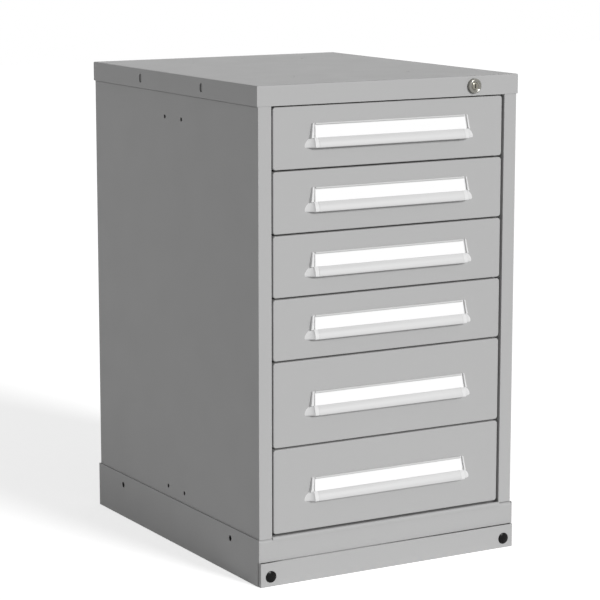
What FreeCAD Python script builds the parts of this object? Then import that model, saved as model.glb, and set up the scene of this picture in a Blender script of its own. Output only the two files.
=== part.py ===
import FreeCAD, Part
import os
import Sketcher

# A floor-standing steel cabinet with six full-extension drawers for microscope slides.
# Millimetres, +X right, +Y to the back, +Z up.
# The origin lies on the floor, at the middle of the overall box.

SIZES = (
    # housing
    ("cap_width", 573.0, "top cap, side to side"),
    ("cap_depth", 693.0, "top cap, front to back"),
    ("cap_height", 38.1, "depth of the cap's turned-down lips"),
    ("cap_sheet", 1.2, "sheet of the cap"),
    ("cap_corner", 2.5, "outer bend radius of the cap"),
    ("total_height", 936.8, "floor to the top of the cap"),
    ("body_inset", 2.65, "side panels in from the cap's sides"),
    ("body_front", 1.3, "post faces behind the cap's front"),
    ("body_back", 2.0, "back panel ahead of the cap's back"),
    ("side_sheet", 1.5, "sheet of the side and back panels"),
    ("post_face", 27.3, "width of the front post that each side panel folds into"),
    ("post_return", 25.2, "depth of the post's inner return"),
    ("rear_return", 22.0, "width of the side panel's rear fold"),
    ("top_return", 20.0, "width of the side panel's top fold"),
    # base
    ("base_height", 90.0, "height of the base frame"),
    ("base_sheet", 2.0, "sheet of the base frame"),
    ("base_overhang", 2.0, "back of the base behind the cap's back"),
    ("base_flange", 28.0, "width of the base frame's flanges"),
    ("rail_front", -2.2, "face of the base's front rail, from the cap's front"),
    ("rail_bend", 6.0, "outer bend at the top of the front rail"),
    ("rail_flange", 36.0, "width of the front rail's top flange"),
    ("cover_height", 46.0, "height of the removable front cover"),
    ("cover_inset", 1.45, "front cover's ends in from the base's sides"),
    ("cover_front", -6.5, "face of the front cover, from the cap's front"),
    ("cover_sheet", 1.5, "sheet of the front cover"),
    ("cover_return", 9.0, "depth of the cover's end returns"),
    ("cover_gap", 0.6, "joint between the cover and the frame around it"),
    ("plug_diameter", 22.5, "head of the cover's domed plugs"),
    ("plug_dome", 2.1, "height of the plug's dome"),
    ("plug_edge", 1.1, "height of the plug's rim under its dome"),
    ("plug_inset", 23.0, "plugs in from the base's sides"),
    ("plug_level", 19.0, "height of the plugs"),
    ("plug_shank", 12.0, "diameter of the plug's shank"),
    ("plug_length", 14.0, "length of the plug's shank"),
    ("floor_sheet", 1.2, "sheet of the floor pan"),
    # fixings for a neighbour, a lift or the floor
    ("base_hole", 11.0, "holes through the base sides"),
    ("base_hole_level", 68.0, "height of the base side holes"),
    ("base_hole_front", 112.0, "first base side hole behind the cap's front"),
    ("base_hole_rear", 114.0, "last base side hole ahead of the cap's back"),
    ("joining_hole", 8.0, "holes through the side panels"),
    ("joining_front", 306.3, "first side panel hole behind the cap's front"),
    ("joining_pitch", 69.7, "distance between the side panel holes"),
    ("joining_rise", 21.4, "lower pair of side panel holes above the base"),
    ("joining_drop", 86.3, "upper pair of side panel holes under the cap's top"),
    ("slot_width", 11.0, "slots in the cap's sides"),
    ("slot_height", 17.0, "slots in the cap's sides, end to end"),
    ("slot_front", 218.0, "first cap slot behind the cap's front"),
    ("slot_pitch", 258.0, "distance between the cap slots"),
    ("slot_drop", 18.8, "cap slots under the cap's top"),
    ("top_hole", 9.0, "holes through the cap's top"),
    ("top_hole_front", 146.0, "front pair of top holes behind the cap's front"),
    ("top_hole_pitch", 412.0, "front to back distance of the top holes"),
    ("top_hole_spread", 256.0, "side to side distance of the top holes"),
    # uprights
    ("upright_width", 40.0, "front to back width of a slotted upright"),
    ("upright_sheet", 2.0, "sheet of the uprights"),
    ("upright_front", 30.0, "front uprights behind the cap's front"),
    ("upright_rear", 13.0, "rear uprights ahead of the cap's back"),
    ("upright_reach", 32.45, "uprights in from the side panels"),
    ("upright_slot", 14.0, "height of an upright's slot"),
    ("upright_slot_width", 6.0, "width of an upright's slot"),
    ("upright_pitch", 50.8, "pitch of the upright's slots"),
    # drawers
    ("front_side_gap", 4.25, "gap between a drawer front and a post"),
    ("front_recess", 3.1, "drawer fronts behind the cap's front"),
    ("front_depth", 18.0, "depth of the folded drawer front"),
    ("front_sheet", 1.2, "sheet of the drawer front"),
    ("front_lip", 12.0, "inner lip folded round the back of a drawer front"),
    ("front_corner", 6.0, "corner radius of a drawer front"),
    ("front_gap", 3.0, "gap between two drawer fronts"),
    ("first_gap", 4.5, "middle of the lowest gap above the base"),
    ("last_gap", 1.0, "middle of the highest gap under the cap's lip"),
    ("deep_pitch", 164.8, "height that a deep drawer takes"),
    ("tray_rear", 46.9, "drawer trays ahead of the cap's back"),
    ("tray_sheet", 1.0, "sheet of a drawer tray"),
    ("tray_lift", 8.0, "tray's underside above the front's lower edge"),
    ("tray_headroom", 30.4, "height that a drawer takes beyond its tray's"),
    ("divider_sheet", 0.8, "sheet of the lane dividers"),
    ("divider_drop", 32.0, "lane dividers under the tray's rim"),
    ("divider_fold", 8.0, "stiffening fold along a divider's foot"),
    # runners
    ("runner_level", 28.0, "runner's middle above the tray's underside"),
    ("runner_height", 32.0, "outer height of the runner channels"),
    ("runner_sheet", 1.5, "sheet of the runner channels"),
    ("drawer_channel", 10.9, "depth of the drawer's runner channel"),
    ("drawer_channel_start", 24.0, "drawer's channel behind the cap's front"),
    ("drawer_channel_rear", 53.0, "drawer's channel ahead of the cap's back"),
    ("housing_channel", 11.0, "depth of the housing's runner channel"),
    ("housing_channel_start", 31.0, "housing's channel behind the cap's front"),
    ("housing_channel_rear", 21.0, "housing's channel ahead of the cap's back"),
    ("channel_air", 0.6, "air between a channel's edge and the carriage bar"),
    ("carriage_sheet", 1.4, "sheet of the carriage bar"),
    ("carriage_height", 27.0, "height of the carriage bar"),
    ("carriage_start", 33.0, "carriage bar behind the cap's front"),
    ("carriage_rear", 56.0, "carriage bar ahead of the cap's back"),
    ("roller_diameter", 28.4, "rollers"),
    ("roller_width", 8.5, "width of a roller with the boss it is riveted on by"),
    ("roller_inset", 20.0, "outermost rollers from the ends of the bar"),
    ("roller_middle", 28.0, "middle rollers to each side of the bar's middle"),
    # handles
    ("handle_height", 45.4, "height of a handle"),
    ("handle_depth", 13.0, "how far a handle stands off the drawer front"),
    ("handle_margin", 88.3, "handle's profile in from the drawer front's side"),
    ("handle_drop_top", 33.6, "handle's top under the gap above it, upper two drawers"),
    ("handle_drop_middle", 36.2, "the same on the two drawers below them"),
    ("handle_drop_deep", 62.6, "the same on the two deep drawers"),
    ("rim_height", 4.2, "rim above the label"),
    ("rim_depth", 4.0, "rim's stand-off"),
    ("label_height", 22.6, "visible height of the label card"),
    ("label_recess", 1.5, "label's channel behind the rim and the grip's edge"),
    ("label_air", 0.6, "air at each end of the label card"),
    ("card_sheet", 0.6, "label card"),
    ("grip_depth", 7.0, "stand-off of the grip's upper edge"),
    ("grip_sheet", 2.2, "wall of the grip"),
    ("grip_nose", 1.6, "height of the grip's rounded lower edge"),
    ("grip_curve", 26.0, "radius of the grip's hollow front"),
    ("end_front", 3.2, "front corner of a handle's end past the profile"),
    ("end_top", 7.5, "root of a handle's end past the profile, at the top"),
    ("end_flare", 21.5, "root of a handle's end past the profile, at the foot"),
    ("end_hollow", 1.2, "fullness of the handle's end half way down the grip"),
    # lock
    ("lock_inset", 102.5, "lock in from the cap's right side"),
    ("lock_drop", 19.2, "lock under the cap's top"),
    ("lock_bezel", 28.6, "diameter of the lock's bezel"),
    ("bezel_depth", 7.4, "how far the bezel stands off the cap"),
    ("bezel_bevel", 1.6, "bevel round the bezel's face"),
    ("lock_barrel", 19.0, "diameter of the lock's barrel"),
    ("barrel_length", 16.0, "barrel behind the cap's front"),
    ("plug_bore", 14.0, "diameter of the turning key plug"),
    ("plug_clearance", 0.05, "running clearance round the key plug"),
    ("plug_recess", 1.6, "key plug's face behind the bezel's"),
    ("keyway_width", 2.0, "key slot"),
    ("keyway_height", 9.0, "key slot, end to end"),
    ("keyway_depth", 7.0, "depth of the key slot"),
    ("crank_radius", 9.0, "crank pin from the lock's axis"),
    ("crank_pin", 5.0, "diameter of the crank pin"),
    ("crank_width", 12.0, "diameter of the cam's ends"),
    ("crank_sheet", 3.0, "thickness of the cam"),
    ("bar_front", 22.6, "locking bar behind the cap's front"),
    ("bar_sheet", 3.0, "thickness of the locking bar"),
    ("bar_width", 6.9, "width of the locking bar"),
    ("lug_width", 5.4, "reach of a locking lug beside the bar"),
    ("lug_height", 10.0, "height of a locking lug"),
    ("bar_air", 0.3, "air between the bar and the post's return"),
    ("bar_foot", 11.5, "bar's lower end above the lowest gap"),
    ("bar_arm", 20.0, "height of the bar's arm"),
    ("arm_reach", 14.0, "arm past the lock's axis"),
    ("pin_air", 0.3, "air round the crank pin"),
    ("pin_lost_motion", 2.1, "extra slot under the crank pin"),
    ("lug_air", 1.2, "air between a lug and the catch under it"),
    ("catch_level", 72.0, "catch above the drawer front's lower edge"),
    ("catch_width", 4.6, "width of the drawer's catch"),
    ("catch_foot", 9.0, "height of the catch's welded foot"),
    ("catch_sheet", 1.5, "thickness of the drawer's catch"),
    ("catch_rise", 7.0, "height of the catch's turned-up end"),
    ("catch_reach", 7.5, "catch behind the drawer front"),
)

DEEP_DRAWERS = 2
SHALLOW_DRAWERS = 4
SHALLOW_DIVIDERS = 4
DEEP_DIVIDERS = 2

# A cut that goes right through reaches this many sheets past the sheet's middle.
THROUGH = 4

# How much of a handle end's flare it has half way down the grip, at the grip's top and half
# way up the label, and how much of it the front corner takes.
FLARE = (0.76, 0.5, 0.24)
FRONT_FLARE = 0.2


class Size:
    """A length that carries both its number and the spreadsheet formula behind it."""

    def __init__(self, number, formula):
        self.number = float(number)
        self.formula = formula

    def _pair(self, other):
        if isinstance(other, Size):
            return other
        return Size(other, repr(float(other)))

    def __add__(self, other):
        other = self._pair(other)
        return Size(self.number + other.number, f"({self.formula} + {other.formula})")

    def __sub__(self, other):
        other = self._pair(other)
        return Size(self.number - other.number, f"({self.formula} - {other.formula})")

    def __mul__(self, other):
        other = self._pair(other)
        return Size(self.number * other.number, f"({self.formula} * {other.formula})")

    def __truediv__(self, other):
        other = self._pair(other)
        return Size(self.number / other.number, f"({self.formula} / {other.formula})")

    def __neg__(self):
        return Size(-self.number, f"(0 - {self.formula})")

    __radd__ = __add__
    __rmul__ = __mul__

    def __rsub__(self, other):
        return self._pair(other) - self


def fill_sheet(doc):
    """Put the driving dimensions in the sheet and hand them back as named sizes."""
    sheet = doc.addObject("Spreadsheet::Sheet", "dims")
    sizes = {}
    for row, (name, number, meaning) in enumerate(SIZES, start=1):
        sheet.set(f"A{row}", name)
        sheet.set(f"B{row}", str(number))
        sheet.setAlias(f"B{row}", name)
        sheet.set(f"C{row}", meaning)
        sizes[name] = Size(number, f"dims.{name}")
    return type("Sizes", (), sizes)


doc = FreeCAD.newDocument("slide_cabinet")
s = fill_sheet(doc)
doc.recompute()
nodes = []
ZERO = Size(0, "0")

# Heights and depths that several pieces share.
front_reach = s.handle_depth - s.front_recess
cap_front = (front_reach - s.cap_depth - s.base_overhang) / 2
cap_back = cap_front + s.cap_depth
body_front = cap_front + s.body_front
body_back = cap_back - s.body_back
base_back = cap_back + s.base_overhang
cap_under = s.total_height - s.cap_sheet
cap_low = s.total_height - s.cap_height
half_cap = s.cap_width / 2
half_body = half_cap - s.body_inset
side_inner = half_body - s.side_sheet
post_inner = half_body - s.post_face
half_front = post_inner - s.front_side_gap
face_y = cap_front + s.front_recess
tray_front = face_y + s.front_depth
tray_depth = cap_back - s.tray_rear - tray_front

# The runners are stacked inwards from the uprights to the trays.
runner_face = side_inner - s.upright_reach
bar_outer = runner_face - s.housing_channel - s.channel_air
bar_inner = bar_outer - s.carriage_sheet
half_tray = bar_inner - s.channel_air - s.drawer_channel

# The drawers share the height between the base and the cap.
first_line = s.base_height + s.first_gap
drawer_room = cap_low - s.last_gap - first_line
shallow_pitch = (drawer_room - s.deep_pitch * DEEP_DRAWERS) / SHALLOW_DRAWERS
handle_half = half_front - s.handle_margin

# The lock and its bar.
lock_x = half_cap - s.lock_inset
lock_z = s.total_height - s.lock_drop
bar_y = cap_front + s.bar_front
lock_bar_outer = post_inner - s.bar_air
lock_bar_inner = lock_bar_outer - s.bar_width
catch_x = lock_bar_inner - s.lug_width / 2


# ---------------------------------------------------------------- helpers

def bind(item, prop, size):
    """Tie a property to a formula of the sheet."""
    item.setExpression(prop, size.formula)


def place(item, x, y, z):
    """Tie an object's position to the sheet."""
    for axis, size in zip("xyz", (x, y, z)):
        bind(item, f".Placement.Base.{axis}", size)


def box(name, x, y, z, width, depth, height):
    """A block from its low corner and its size along X, Y and Z."""
    block = doc.addObject("Part::Box", name)
    for prop, size in (("Length", width), ("Width", depth), ("Height", height)):
        bind(block, prop, size)
    place(block, x, y, z)
    return block


TURNS = {
    "x": FreeCAD.Rotation(FreeCAD.Vector(0, 1, 0), 90),
    "y": FreeCAD.Rotation(FreeCAD.Vector(1, 0, 0), -90),
    "z": FreeCAD.Rotation(),
}


def rod(name, axis, x, y, z, diameter, length):
    """A cylinder that runs along an axis from its low end."""
    cylinder = doc.addObject("Part::Cylinder", name)
    cylinder.Placement = FreeCAD.Placement(FreeCAD.Vector(), TURNS[axis])
    bind(cylinder, "Radius", diameter / 2)
    bind(cylinder, "Height", length)
    place(cylinder, x, y, z)
    return cylinder


def fuse(name, shapes):
    """One solid from overlapping or touching shapes."""
    joined = doc.addObject("Part::MultiFuse", name)
    joined.Shapes = shapes
    joined.Refine = True
    return joined


def gather(name, shapes):
    """A group of separate solids in one node."""
    group = doc.addObject("Part::Compound", name)
    group.Links = shapes
    return group


def cut(name, base, tools):
    """A shape less the tools, which are joined first."""
    tool = tools[0] if len(tools) == 1 else gather(f"{name}_tools", tools)
    result = doc.addObject("Part::Cut", name)
    result.Base = base
    result.Tool = tool
    result.Refine = True
    return result


def node(item, name):
    """Name a finished sub-part, which is written to a file of that name."""
    item.Label = name
    nodes.append(item)
    return item


def new_body(name):
    body = doc.addObject("PartDesign::Body", f"{name}_body")
    body.AllowCompound = True
    return body


def origin_plane(body, role):
    return [plane for plane in body.Origin.OriginFeatures if plane.Role == role][0]


def sketch_on(body, name, role, offset=None):
    """A sketch on one of the body's origin planes, at an offset along its normal."""
    sketch = body.newObject("Sketcher::SketchObject", name)
    sketch.AttachmentSupport = (origin_plane(body, role), [""])
    sketch.MapMode = "FlatFace"
    if offset is not None:
        bind(sketch, ".AttachmentOffset.Base.z", offset)
    return sketch


def pin_point(sketch, index, end, point):
    """Hold one end of a sketch curve at a point measured from the sketch's origin."""
    for kind, size in zip(("DistanceX", "DistanceY"), point):
        rule = sketch.addConstraint(Sketcher.Constraint(kind, -1, 1, index, end, size.number))
        sketch.setExpression(f"Constraints[{rule}]", size.formula)


def vector(point):
    return FreeCAD.Vector(point[0].number, point[1].number, 0)


def outline(sketch, points):
    """A closed outline. A point is (u, v), or (u, v, radius, turn) where the stretch that
    leads to it is an arc: turn is 1 for an arc that turns left and -1 for one to the right."""
    count = len(points)
    for index in range(count):
        start = points[index - 1]
        end = points[index]
        if len(end) == 2:
            sketch.addGeometry(Part.LineSegment(vector(start), vector(end)), False)
            continue
        radius, turn = end[2], end[3]
        chord = vector(end) - vector(start)
        middle = (vector(start) + vector(end)) * 0.5
        rise = (radius.number ** 2 - (chord.Length / 2) ** 2) ** 0.5
        normal = FreeCAD.Vector(-chord.y, chord.x, 0).normalize()
        centre = middle + normal * (rise * turn)
        crown = centre - normal * (radius.number * turn)
        sketch.addGeometry(Part.Arc(vector(start), crown, vector(end)), False)
    for index in range(count):
        following = (index + 1) % count
        ends = [curve_ends(points, index, 2), curve_ends(points, following, 1)]
        sketch.addConstraint(Sketcher.Constraint("Coincident", index, ends[0], following, ends[1]))
        pin_point(sketch, index, ends[0], points[index][:2])
    for index, point in enumerate(points):
        if len(point) == 4:
            radius = point[2]
            rule = sketch.addConstraint(Sketcher.Constraint("Radius", index, radius.number))
            sketch.setExpression(f"Constraints[{rule}]", radius.formula)


def curve_ends(points, index, end):
    """Sketch arcs always run anticlockwise, so a right-hand arc has its ends swapped."""
    point = points[index]
    if len(point) == 4 and point[3] < 0:
        return 3 - end
    return end


def circle(sketch, u, v, diameter):
    """A circle whose centre and diameter follow the sheet."""
    centre = FreeCAD.Vector(u.number, v.number, 0)
    ring = Part.Circle(centre, FreeCAD.Vector(0, 0, 1), diameter.number / 2)
    index = sketch.addGeometry(ring, False)
    pin_point(sketch, index, 3, (u, v))
    rule = sketch.addConstraint(Sketcher.Constraint("Diameter", index, diameter.number))
    sketch.setExpression(f"Constraints[{rule}]", diameter.formula)


def pad(body, sketch, length, name, midplane=False, backwards=False):
    """Extrude a sketch into the body."""
    feature = body.newObject("PartDesign::Pad", name)
    feature.Profile = sketch
    feature.Midplane = midplane
    feature.Reversed = backwards
    bind(feature, "Length", length)
    return feature


def pocket(body, sketch, length, name, midplane=False, backwards=False):
    """Cut a sketch out of the body, and make sure that it did."""
    before = body.Shape.Volume
    feature = body.newObject("PartDesign::Pocket", name)
    feature.Profile = sketch
    feature.Midplane = midplane
    feature.Reversed = backwards
    bind(feature, "Length", length)
    doc.recompute()
    if not body.Shape.Volume < before:
        raise RuntimeError(f"{name} cuts nothing")
    return feature


def rectangle(u_low, v_low, u_high, v_high):
    return [(u_low, v_low), (u_high, v_low), (u_high, v_high), (u_low, v_high)]


def round_rectangle(u_half, v_low, v_high, radius):
    """A rectangle about the vertical axis, with round corners."""
    return [
        (-u_half + radius, v_low), (u_half - radius, v_low),
        (u_half, v_low + radius, radius, 1), (u_half, v_high - radius),
        (u_half - radius, v_high, radius, 1), (-u_half + radius, v_high),
        (-u_half, v_high - radius, radius, 1), (-u_half, v_low + radius),
        (-u_half + radius, v_low, radius, 1),
    ][1:]


# ---------------------------------------------------------------- housing

def make_top_cap():
    """A folded sheet cap: open below, with slots in its sides and holes in its top."""
    body = new_body("top_cap")
    plan = sketch_on(body, "cap_plan", "XY_Plane")
    outline(plan, rectangle(-half_cap, cap_front, half_cap, cap_back))
    slab = pad(body, plan, s.cap_height, "cap_slab")
    doc.recompute()
    bends = body.newObject("PartDesign::Fillet", "cap_bends")
    edges = [
        f"Edge{number}" for number, edge in enumerate(slab.Shape.Edges, start=1)
        if edge.CenterOfMass.z > s.cap_height.number - s.cap_sheet.number
    ]
    bends.Base = (slab, edges)
    bind(bends, "Radius", s.cap_corner)
    hollow = sketch_on(body, "cap_hollow_plan", "XY_Plane")
    inner = half_cap - s.cap_sheet
    outline(hollow, rectangle(-inner, cap_front + s.cap_sheet, inner, cap_back - s.cap_sheet))
    pocket(body, hollow, s.cap_height - s.cap_sheet, "cap_hollow", backwards=True)
    lock_sketch = sketch_on(body, "cap_lock_sketch", "XZ_Plane", -cap_front)
    circle(lock_sketch, lock_x, s.cap_height - s.lock_drop, s.lock_barrel)
    pocket(body, lock_sketch, s.cap_sheet * THROUGH, "cap_lock_hole", midplane=True)
    slots = sketch_on(body, "cap_slot_sketch", "YZ_Plane")
    slot_z = s.cap_height - s.slot_drop
    for step in (0, 1):
        slot_y = cap_front + s.slot_front + s.slot_pitch * step
        half = s.slot_width / 2
        straight = (s.slot_height - s.slot_width) / 2
        slot_loop(slots, slot_y, slot_z, half, straight)
    pocket(body, slots, s.cap_width * 2, "cap_slots", midplane=True)
    holes = sketch_on(body, "cap_top_sketch", "XY_Plane")
    for side in (-1, 1):
        for step in (0, 1):
            hole_y = cap_front + s.top_hole_front + s.top_hole_pitch * step
            circle(holes, s.top_hole_spread / 2 * side, hole_y, s.top_hole)
    pocket(body, holes, s.cap_height * 2, "cap_top_holes", backwards=True)
    place(body, ZERO, ZERO, cap_low)
    node(body, "top_cap")


def slot_loop(sketch, u, v, half, straight):
    """An upright slot with round ends, added to a sketch."""
    first = sketch.GeometryCount
    for side in (1, -1):
        low = FreeCAD.Vector(u.number + half.number * side, v.number - straight.number * side, 0)
        high = FreeCAD.Vector(u.number + half.number * side, v.number + straight.number * side, 0)
        sketch.addGeometry(Part.LineSegment(low, high), False)
        crown = FreeCAD.Vector(u.number, v.number + (straight + half).number * side, 0)
        across = FreeCAD.Vector(u.number - half.number * side, high.y, 0)
        sketch.addGeometry(Part.Arc(high, crown, across), False)
    for index in range(4):
        join = Sketcher.Constraint("Coincident", first + index, 2, first + (index + 1) % 4, 1)
        sketch.addConstraint(join)
    for index, side in ((0, 1), (2, -1)):
        pin_point(sketch, first + index, 1, (u + half * side, v - straight * side))
        pin_point(sketch, first + index, 2, (u + half * side, v + straight * side))
    for index, side in ((1, 1), (3, -1)):
        centre_v = v + straight * side
        rule = sketch.addConstraint(
            Sketcher.Constraint("DistanceY", -1, 1, first + index, 3, centre_v.number))
        sketch.setExpression(f"Constraints[{rule}]", centre_v.formula)


def make_side(name, side):
    """A side panel that folds into the front post, a rear return and a top return."""
    body = new_body(name)
    plan = sketch_on(body, f"{name}_plan", "XY_Plane")
    front = body_front
    back = body_back - s.side_sheet
    sheet = s.side_sheet
    corners = [
        (half_body, front), (half_body, back),
        (half_body - s.rear_return, back), (half_body - s.rear_return, back - sheet),
        (side_inner, back - sheet), (side_inner, front + sheet),
        (post_inner + sheet, front + sheet), (post_inner + sheet, front + s.post_return),
        (post_inner, front + s.post_return), (post_inner, front),
    ]
    outline(plan, [(x * side, y) for x, y in corners])
    height = cap_under - s.base_height
    pad(body, plan, height, f"{name}_panel")
    doc.recompute()
    top = sketch_on(body, f"{name}_top_plan", "XY_Plane", height - sheet)
    outline(top, rectangle(
        (side_inner - s.top_return) * side, front + s.post_return,
        side_inner * side, back - sheet))
    pad(body, top, sheet, f"{name}_top_return")
    holes = sketch_on(body, f"{name}_hole_sketch", "YZ_Plane")
    for level in (s.joining_rise, s.total_height - s.joining_drop - s.base_height):
        for step in (0, 1):
            hole_y = cap_front + s.joining_front + s.joining_pitch * step
            circle(holes, hole_y, level, s.joining_hole)
    doc.recompute()
    pocket(body, holes, s.cap_width * 2, f"{name}_holes", midplane=True)
    place(body, ZERO, ZERO, s.base_height)
    node(body, name)


def make_back_panel():
    """A flat back sheet, lapped behind the side panels' rear returns."""
    node(box(
        "back_sheet", -half_body, body_back - s.side_sheet, s.base_height,
        half_body * 2, s.side_sheet, cap_under - s.base_height), "back_panel")


def make_floor_pan():
    """The deck that closes the housing over the base frame."""
    start = body_front + s.post_return + s.front_gap
    end = body_back - s.side_sheet * 2
    node(box(
        "floor_sheet_box", -side_inner, start, s.base_height,
        side_inner * 2, end - start, s.floor_sheet), "floor_pan")


# ---------------------------------------------------------------- base

def make_base_side(name, side):
    """A folded channel with two holes and a step for the cover's end return."""
    half = half_cap
    sheet = s.base_sheet
    start = cap_front + s.rail_front
    end = base_back
    body = new_body(name)
    section = sketch_on(body, f"{name}_section", "XZ_Plane", -end)
    inner = half - s.base_flange
    corners = [
        (half, ZERO), (half, s.base_height), (inner, s.base_height),
        (inner, s.base_height - sheet), (half - sheet, s.base_height - sheet),
        (half - sheet, sheet), (inner, sheet), (inner, ZERO),
    ]
    outline(section, [(x * side, z) for x, z in corners])
    pad(body, section, end - start, f"{name}_channel")
    doc.recompute()
    step = sketch_on(body, f"{name}_step_sketch", "YZ_Plane")
    step_end = cap_front + s.cover_front + s.cover_return + s.cover_gap
    outline(step, rectangle(start - sheet, -sheet, step_end, s.cover_height + s.cover_gap))
    pocket(body, step, s.cap_width * 2, f"{name}_step", midplane=True)
    relief = sketch_on(body, f"{name}_relief_plan", "XY_Plane", s.base_height + sheet)
    outline(relief, rectangle(
        (inner - sheet) * side, start - sheet, (half - sheet) * side, start + s.rail_flange))
    pocket(body, relief, sheet * 2, f"{name}_relief")
    holes = sketch_on(body, f"{name}_hole_sketch", "YZ_Plane")
    for hole_y in (cap_front + s.base_hole_front, cap_back - s.base_hole_rear):
        circle(holes, hole_y, s.base_hole_level, s.base_hole)
    pocket(body, holes, s.cap_width * 2, f"{name}_holes", midplane=True)
    node(body, name)


def make_front_rail():
    """The base's upper front member, whose top edge is a rolled bend."""
    body = new_body("base_front_rail")
    section = sketch_on(body, "rail_section", "YZ_Plane")
    sheet = s.base_sheet
    front = cap_front + s.rail_front
    low = s.cover_height + s.cover_gap
    back = front + s.rail_flange
    bend = s.rail_bend
    outline(section, [
        (front, low), (front + s.base_flange, low), (front + s.base_flange, low + sheet),
        (front + sheet, low + sheet), (front + sheet, s.base_height - bend),
        (front + bend, s.base_height - sheet, bend - sheet, -1),
        (back, s.base_height - sheet), (back, s.base_height),
        (front + bend, s.base_height), (front, s.base_height - bend, bend, 1),
    ])
    inner = half_cap - s.base_sheet
    pad(body, section, inner * 2, "rail_profile", midplane=True)
    node(body, "base_front_rail")


def make_base_back():
    """The rear member, between the two base sides."""
    body = new_body("base_back")
    section = sketch_on(body, "base_back_section", "YZ_Plane")
    sheet = s.base_sheet
    back = base_back
    inner = back - s.base_flange
    outline(section, [
        (back, sheet), (back, s.base_height - sheet), (inner, s.base_height - sheet),
        (inner, s.base_height - sheet * 2), (back - sheet, s.base_height - sheet * 2),
        (back - sheet, sheet * 2), (inner, sheet * 2), (inner, sheet),
    ])
    pad(body, section, (half_cap - sheet) * 2, "base_back_channel", midplane=True)
    node(body, "base_back")


def make_base_cover():
    """The removable plate under the front rail, with two returns and two plug holes."""
    body = new_body("base_front_cover")
    plan = sketch_on(body, "cover_plan", "XY_Plane")
    half = half_cap - s.cover_inset
    front = cap_front + s.cover_front
    back = front + s.cover_return
    sheet = s.cover_sheet
    outline(plan, [
        (-half, front), (half, front), (half, back), (half - sheet, back),
        (half - sheet, front + sheet), (-half + sheet, front + sheet),
        (-half + sheet, back), (-half, back),
    ])
    pad(body, plan, s.cover_height, "cover_plate")
    holes = sketch_on(body, "cover_hole_sketch", "XZ_Plane", -front)
    for side in (-1, 1):
        circle(holes, (half_cap - s.plug_inset) * side, s.plug_level, s.plug_shank)
    doc.recompute()
    pocket(body, holes, sheet * THROUGH, "cover_holes", midplane=True)
    node(body, "base_front_cover")


def make_cover_plugs():
    """Two domed plugs, turned in one piece with their shanks."""
    plugs = []
    for side in (-1, 1):
        body = new_body(f"cover_plug_{'left' if side < 0 else 'right'}")
        section = sketch_on(body, f"{body.Name}_section", "XY_Plane")
        head = s.plug_diameter / 2
        shank = s.plug_shank / 2
        dome = s.plug_dome
        edge = s.plug_edge
        crown = (head * head + dome * dome) / (dome * 2)
        outline(section, [
            (ZERO, -(dome + edge)), (head, -edge, crown, 1), (head, ZERO), (shank, ZERO),
            (shank, s.plug_length), (ZERO, s.plug_length),
        ])
        turned = body.newObject("PartDesign::Revolution", f"{body.Name}_turning")
        turned.Profile = section
        turned.ReferenceAxis = (section, ["V_Axis"])
        turned.Angle = 360
        place(body, (half_cap - s.plug_inset) * side, cap_front + s.cover_front, s.plug_level)
        plugs.append(body)
    node(gather("cover_plug_pair", plugs), "cover_plugs")


# ---------------------------------------------------------------- uprights and runners

def make_uprights(name, front):
    """A left and right slotted channel that carry the runners."""
    face = runner_face
    foot = s.base_height + s.floor_sheet
    head = cap_under - s.side_sheet
    sheet = s.upright_sheet
    posts = []
    for side in (-1, 1):
        label = f"{name}_{'left' if side < 0 else 'right'}"
        body = new_body(label)
        plan = sketch_on(body, f"{label}_plan", "XY_Plane")
        back = front + s.upright_width
        corners = [
            (face, front), (side_inner, front), (side_inner, front + sheet),
            (face + sheet, front + sheet), (face + sheet, back - sheet),
            (side_inner, back - sheet), (side_inner, back), (face, back),
        ]
        outline(plan, [(x * side, y) for x, y in corners])
        pad(body, plan, head - foot, f"{label}_channel")
        doc.recompute()
        slot = sketch_on(body, f"{label}_slot_sketch", "YZ_Plane", (face + sheet / 2) * side)
        middle = front + s.upright_width / 2
        half = s.upright_slot_width / 2
        outline(slot, rectangle(
            middle - half, s.upright_pitch, middle + half, s.upright_pitch + s.upright_slot))
        first = pocket(body, slot, sheet * THROUGH, f"{label}_slot", midplane=True)
        row = body.newObject("PartDesign::LinearPattern", f"{label}_slots")
        row.Originals = [first]
        row.Direction = (slot, ["V_Axis"])
        row.Mode = "Spacing"
        bind(row, "Offset", s.upright_pitch)
        run = (head - foot).number - 2 * s.upright_pitch.number
        row.Occurrences = int(run // s.upright_pitch.number)
        body.Tip = row
        place(body, ZERO, ZERO, foot)
        posts.append(body)
    node(gather(f"{name}_pair", posts), name)


def make_runner_channels(name, side, drawers):
    """One channel for each drawer, open towards the drawers, along one side."""
    start = cap_front + s.housing_channel_start
    end = cap_back - s.housing_channel_rear
    channels = []
    for drawer in drawers:
        body = new_body(f"{name}_{drawer['number']}")
        section = sketch_on(body, f"{body.Name}_section", "XZ_Plane", -end)
        channel_section(section, runner_face, -s.housing_channel, side)
        pad(body, section, end - start, f"{body.Name}_channel")
        place(body, ZERO, ZERO, drawer["runner_z"])
        channels.append(body)
    node(gather(f"{name}_set", channels), name)


def channel_section(sketch, web_face, depth, side):
    """A C section: its web's back is at web_face and its flanges reach depth from it."""
    sheet = s.runner_sheet * (1 if depth.number > 0 else -1)
    tip = web_face + depth
    high = s.runner_height / 2
    corners = [
        (web_face, -high), (tip, -high), (tip, -high + s.runner_sheet),
        (web_face + sheet, -high + s.runner_sheet), (web_face + sheet, high - s.runner_sheet),
        (tip, high - s.runner_sheet), (tip, high), (web_face, high),
    ]
    outline(sketch, [(x * side, z) for x, z in corners])


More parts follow.
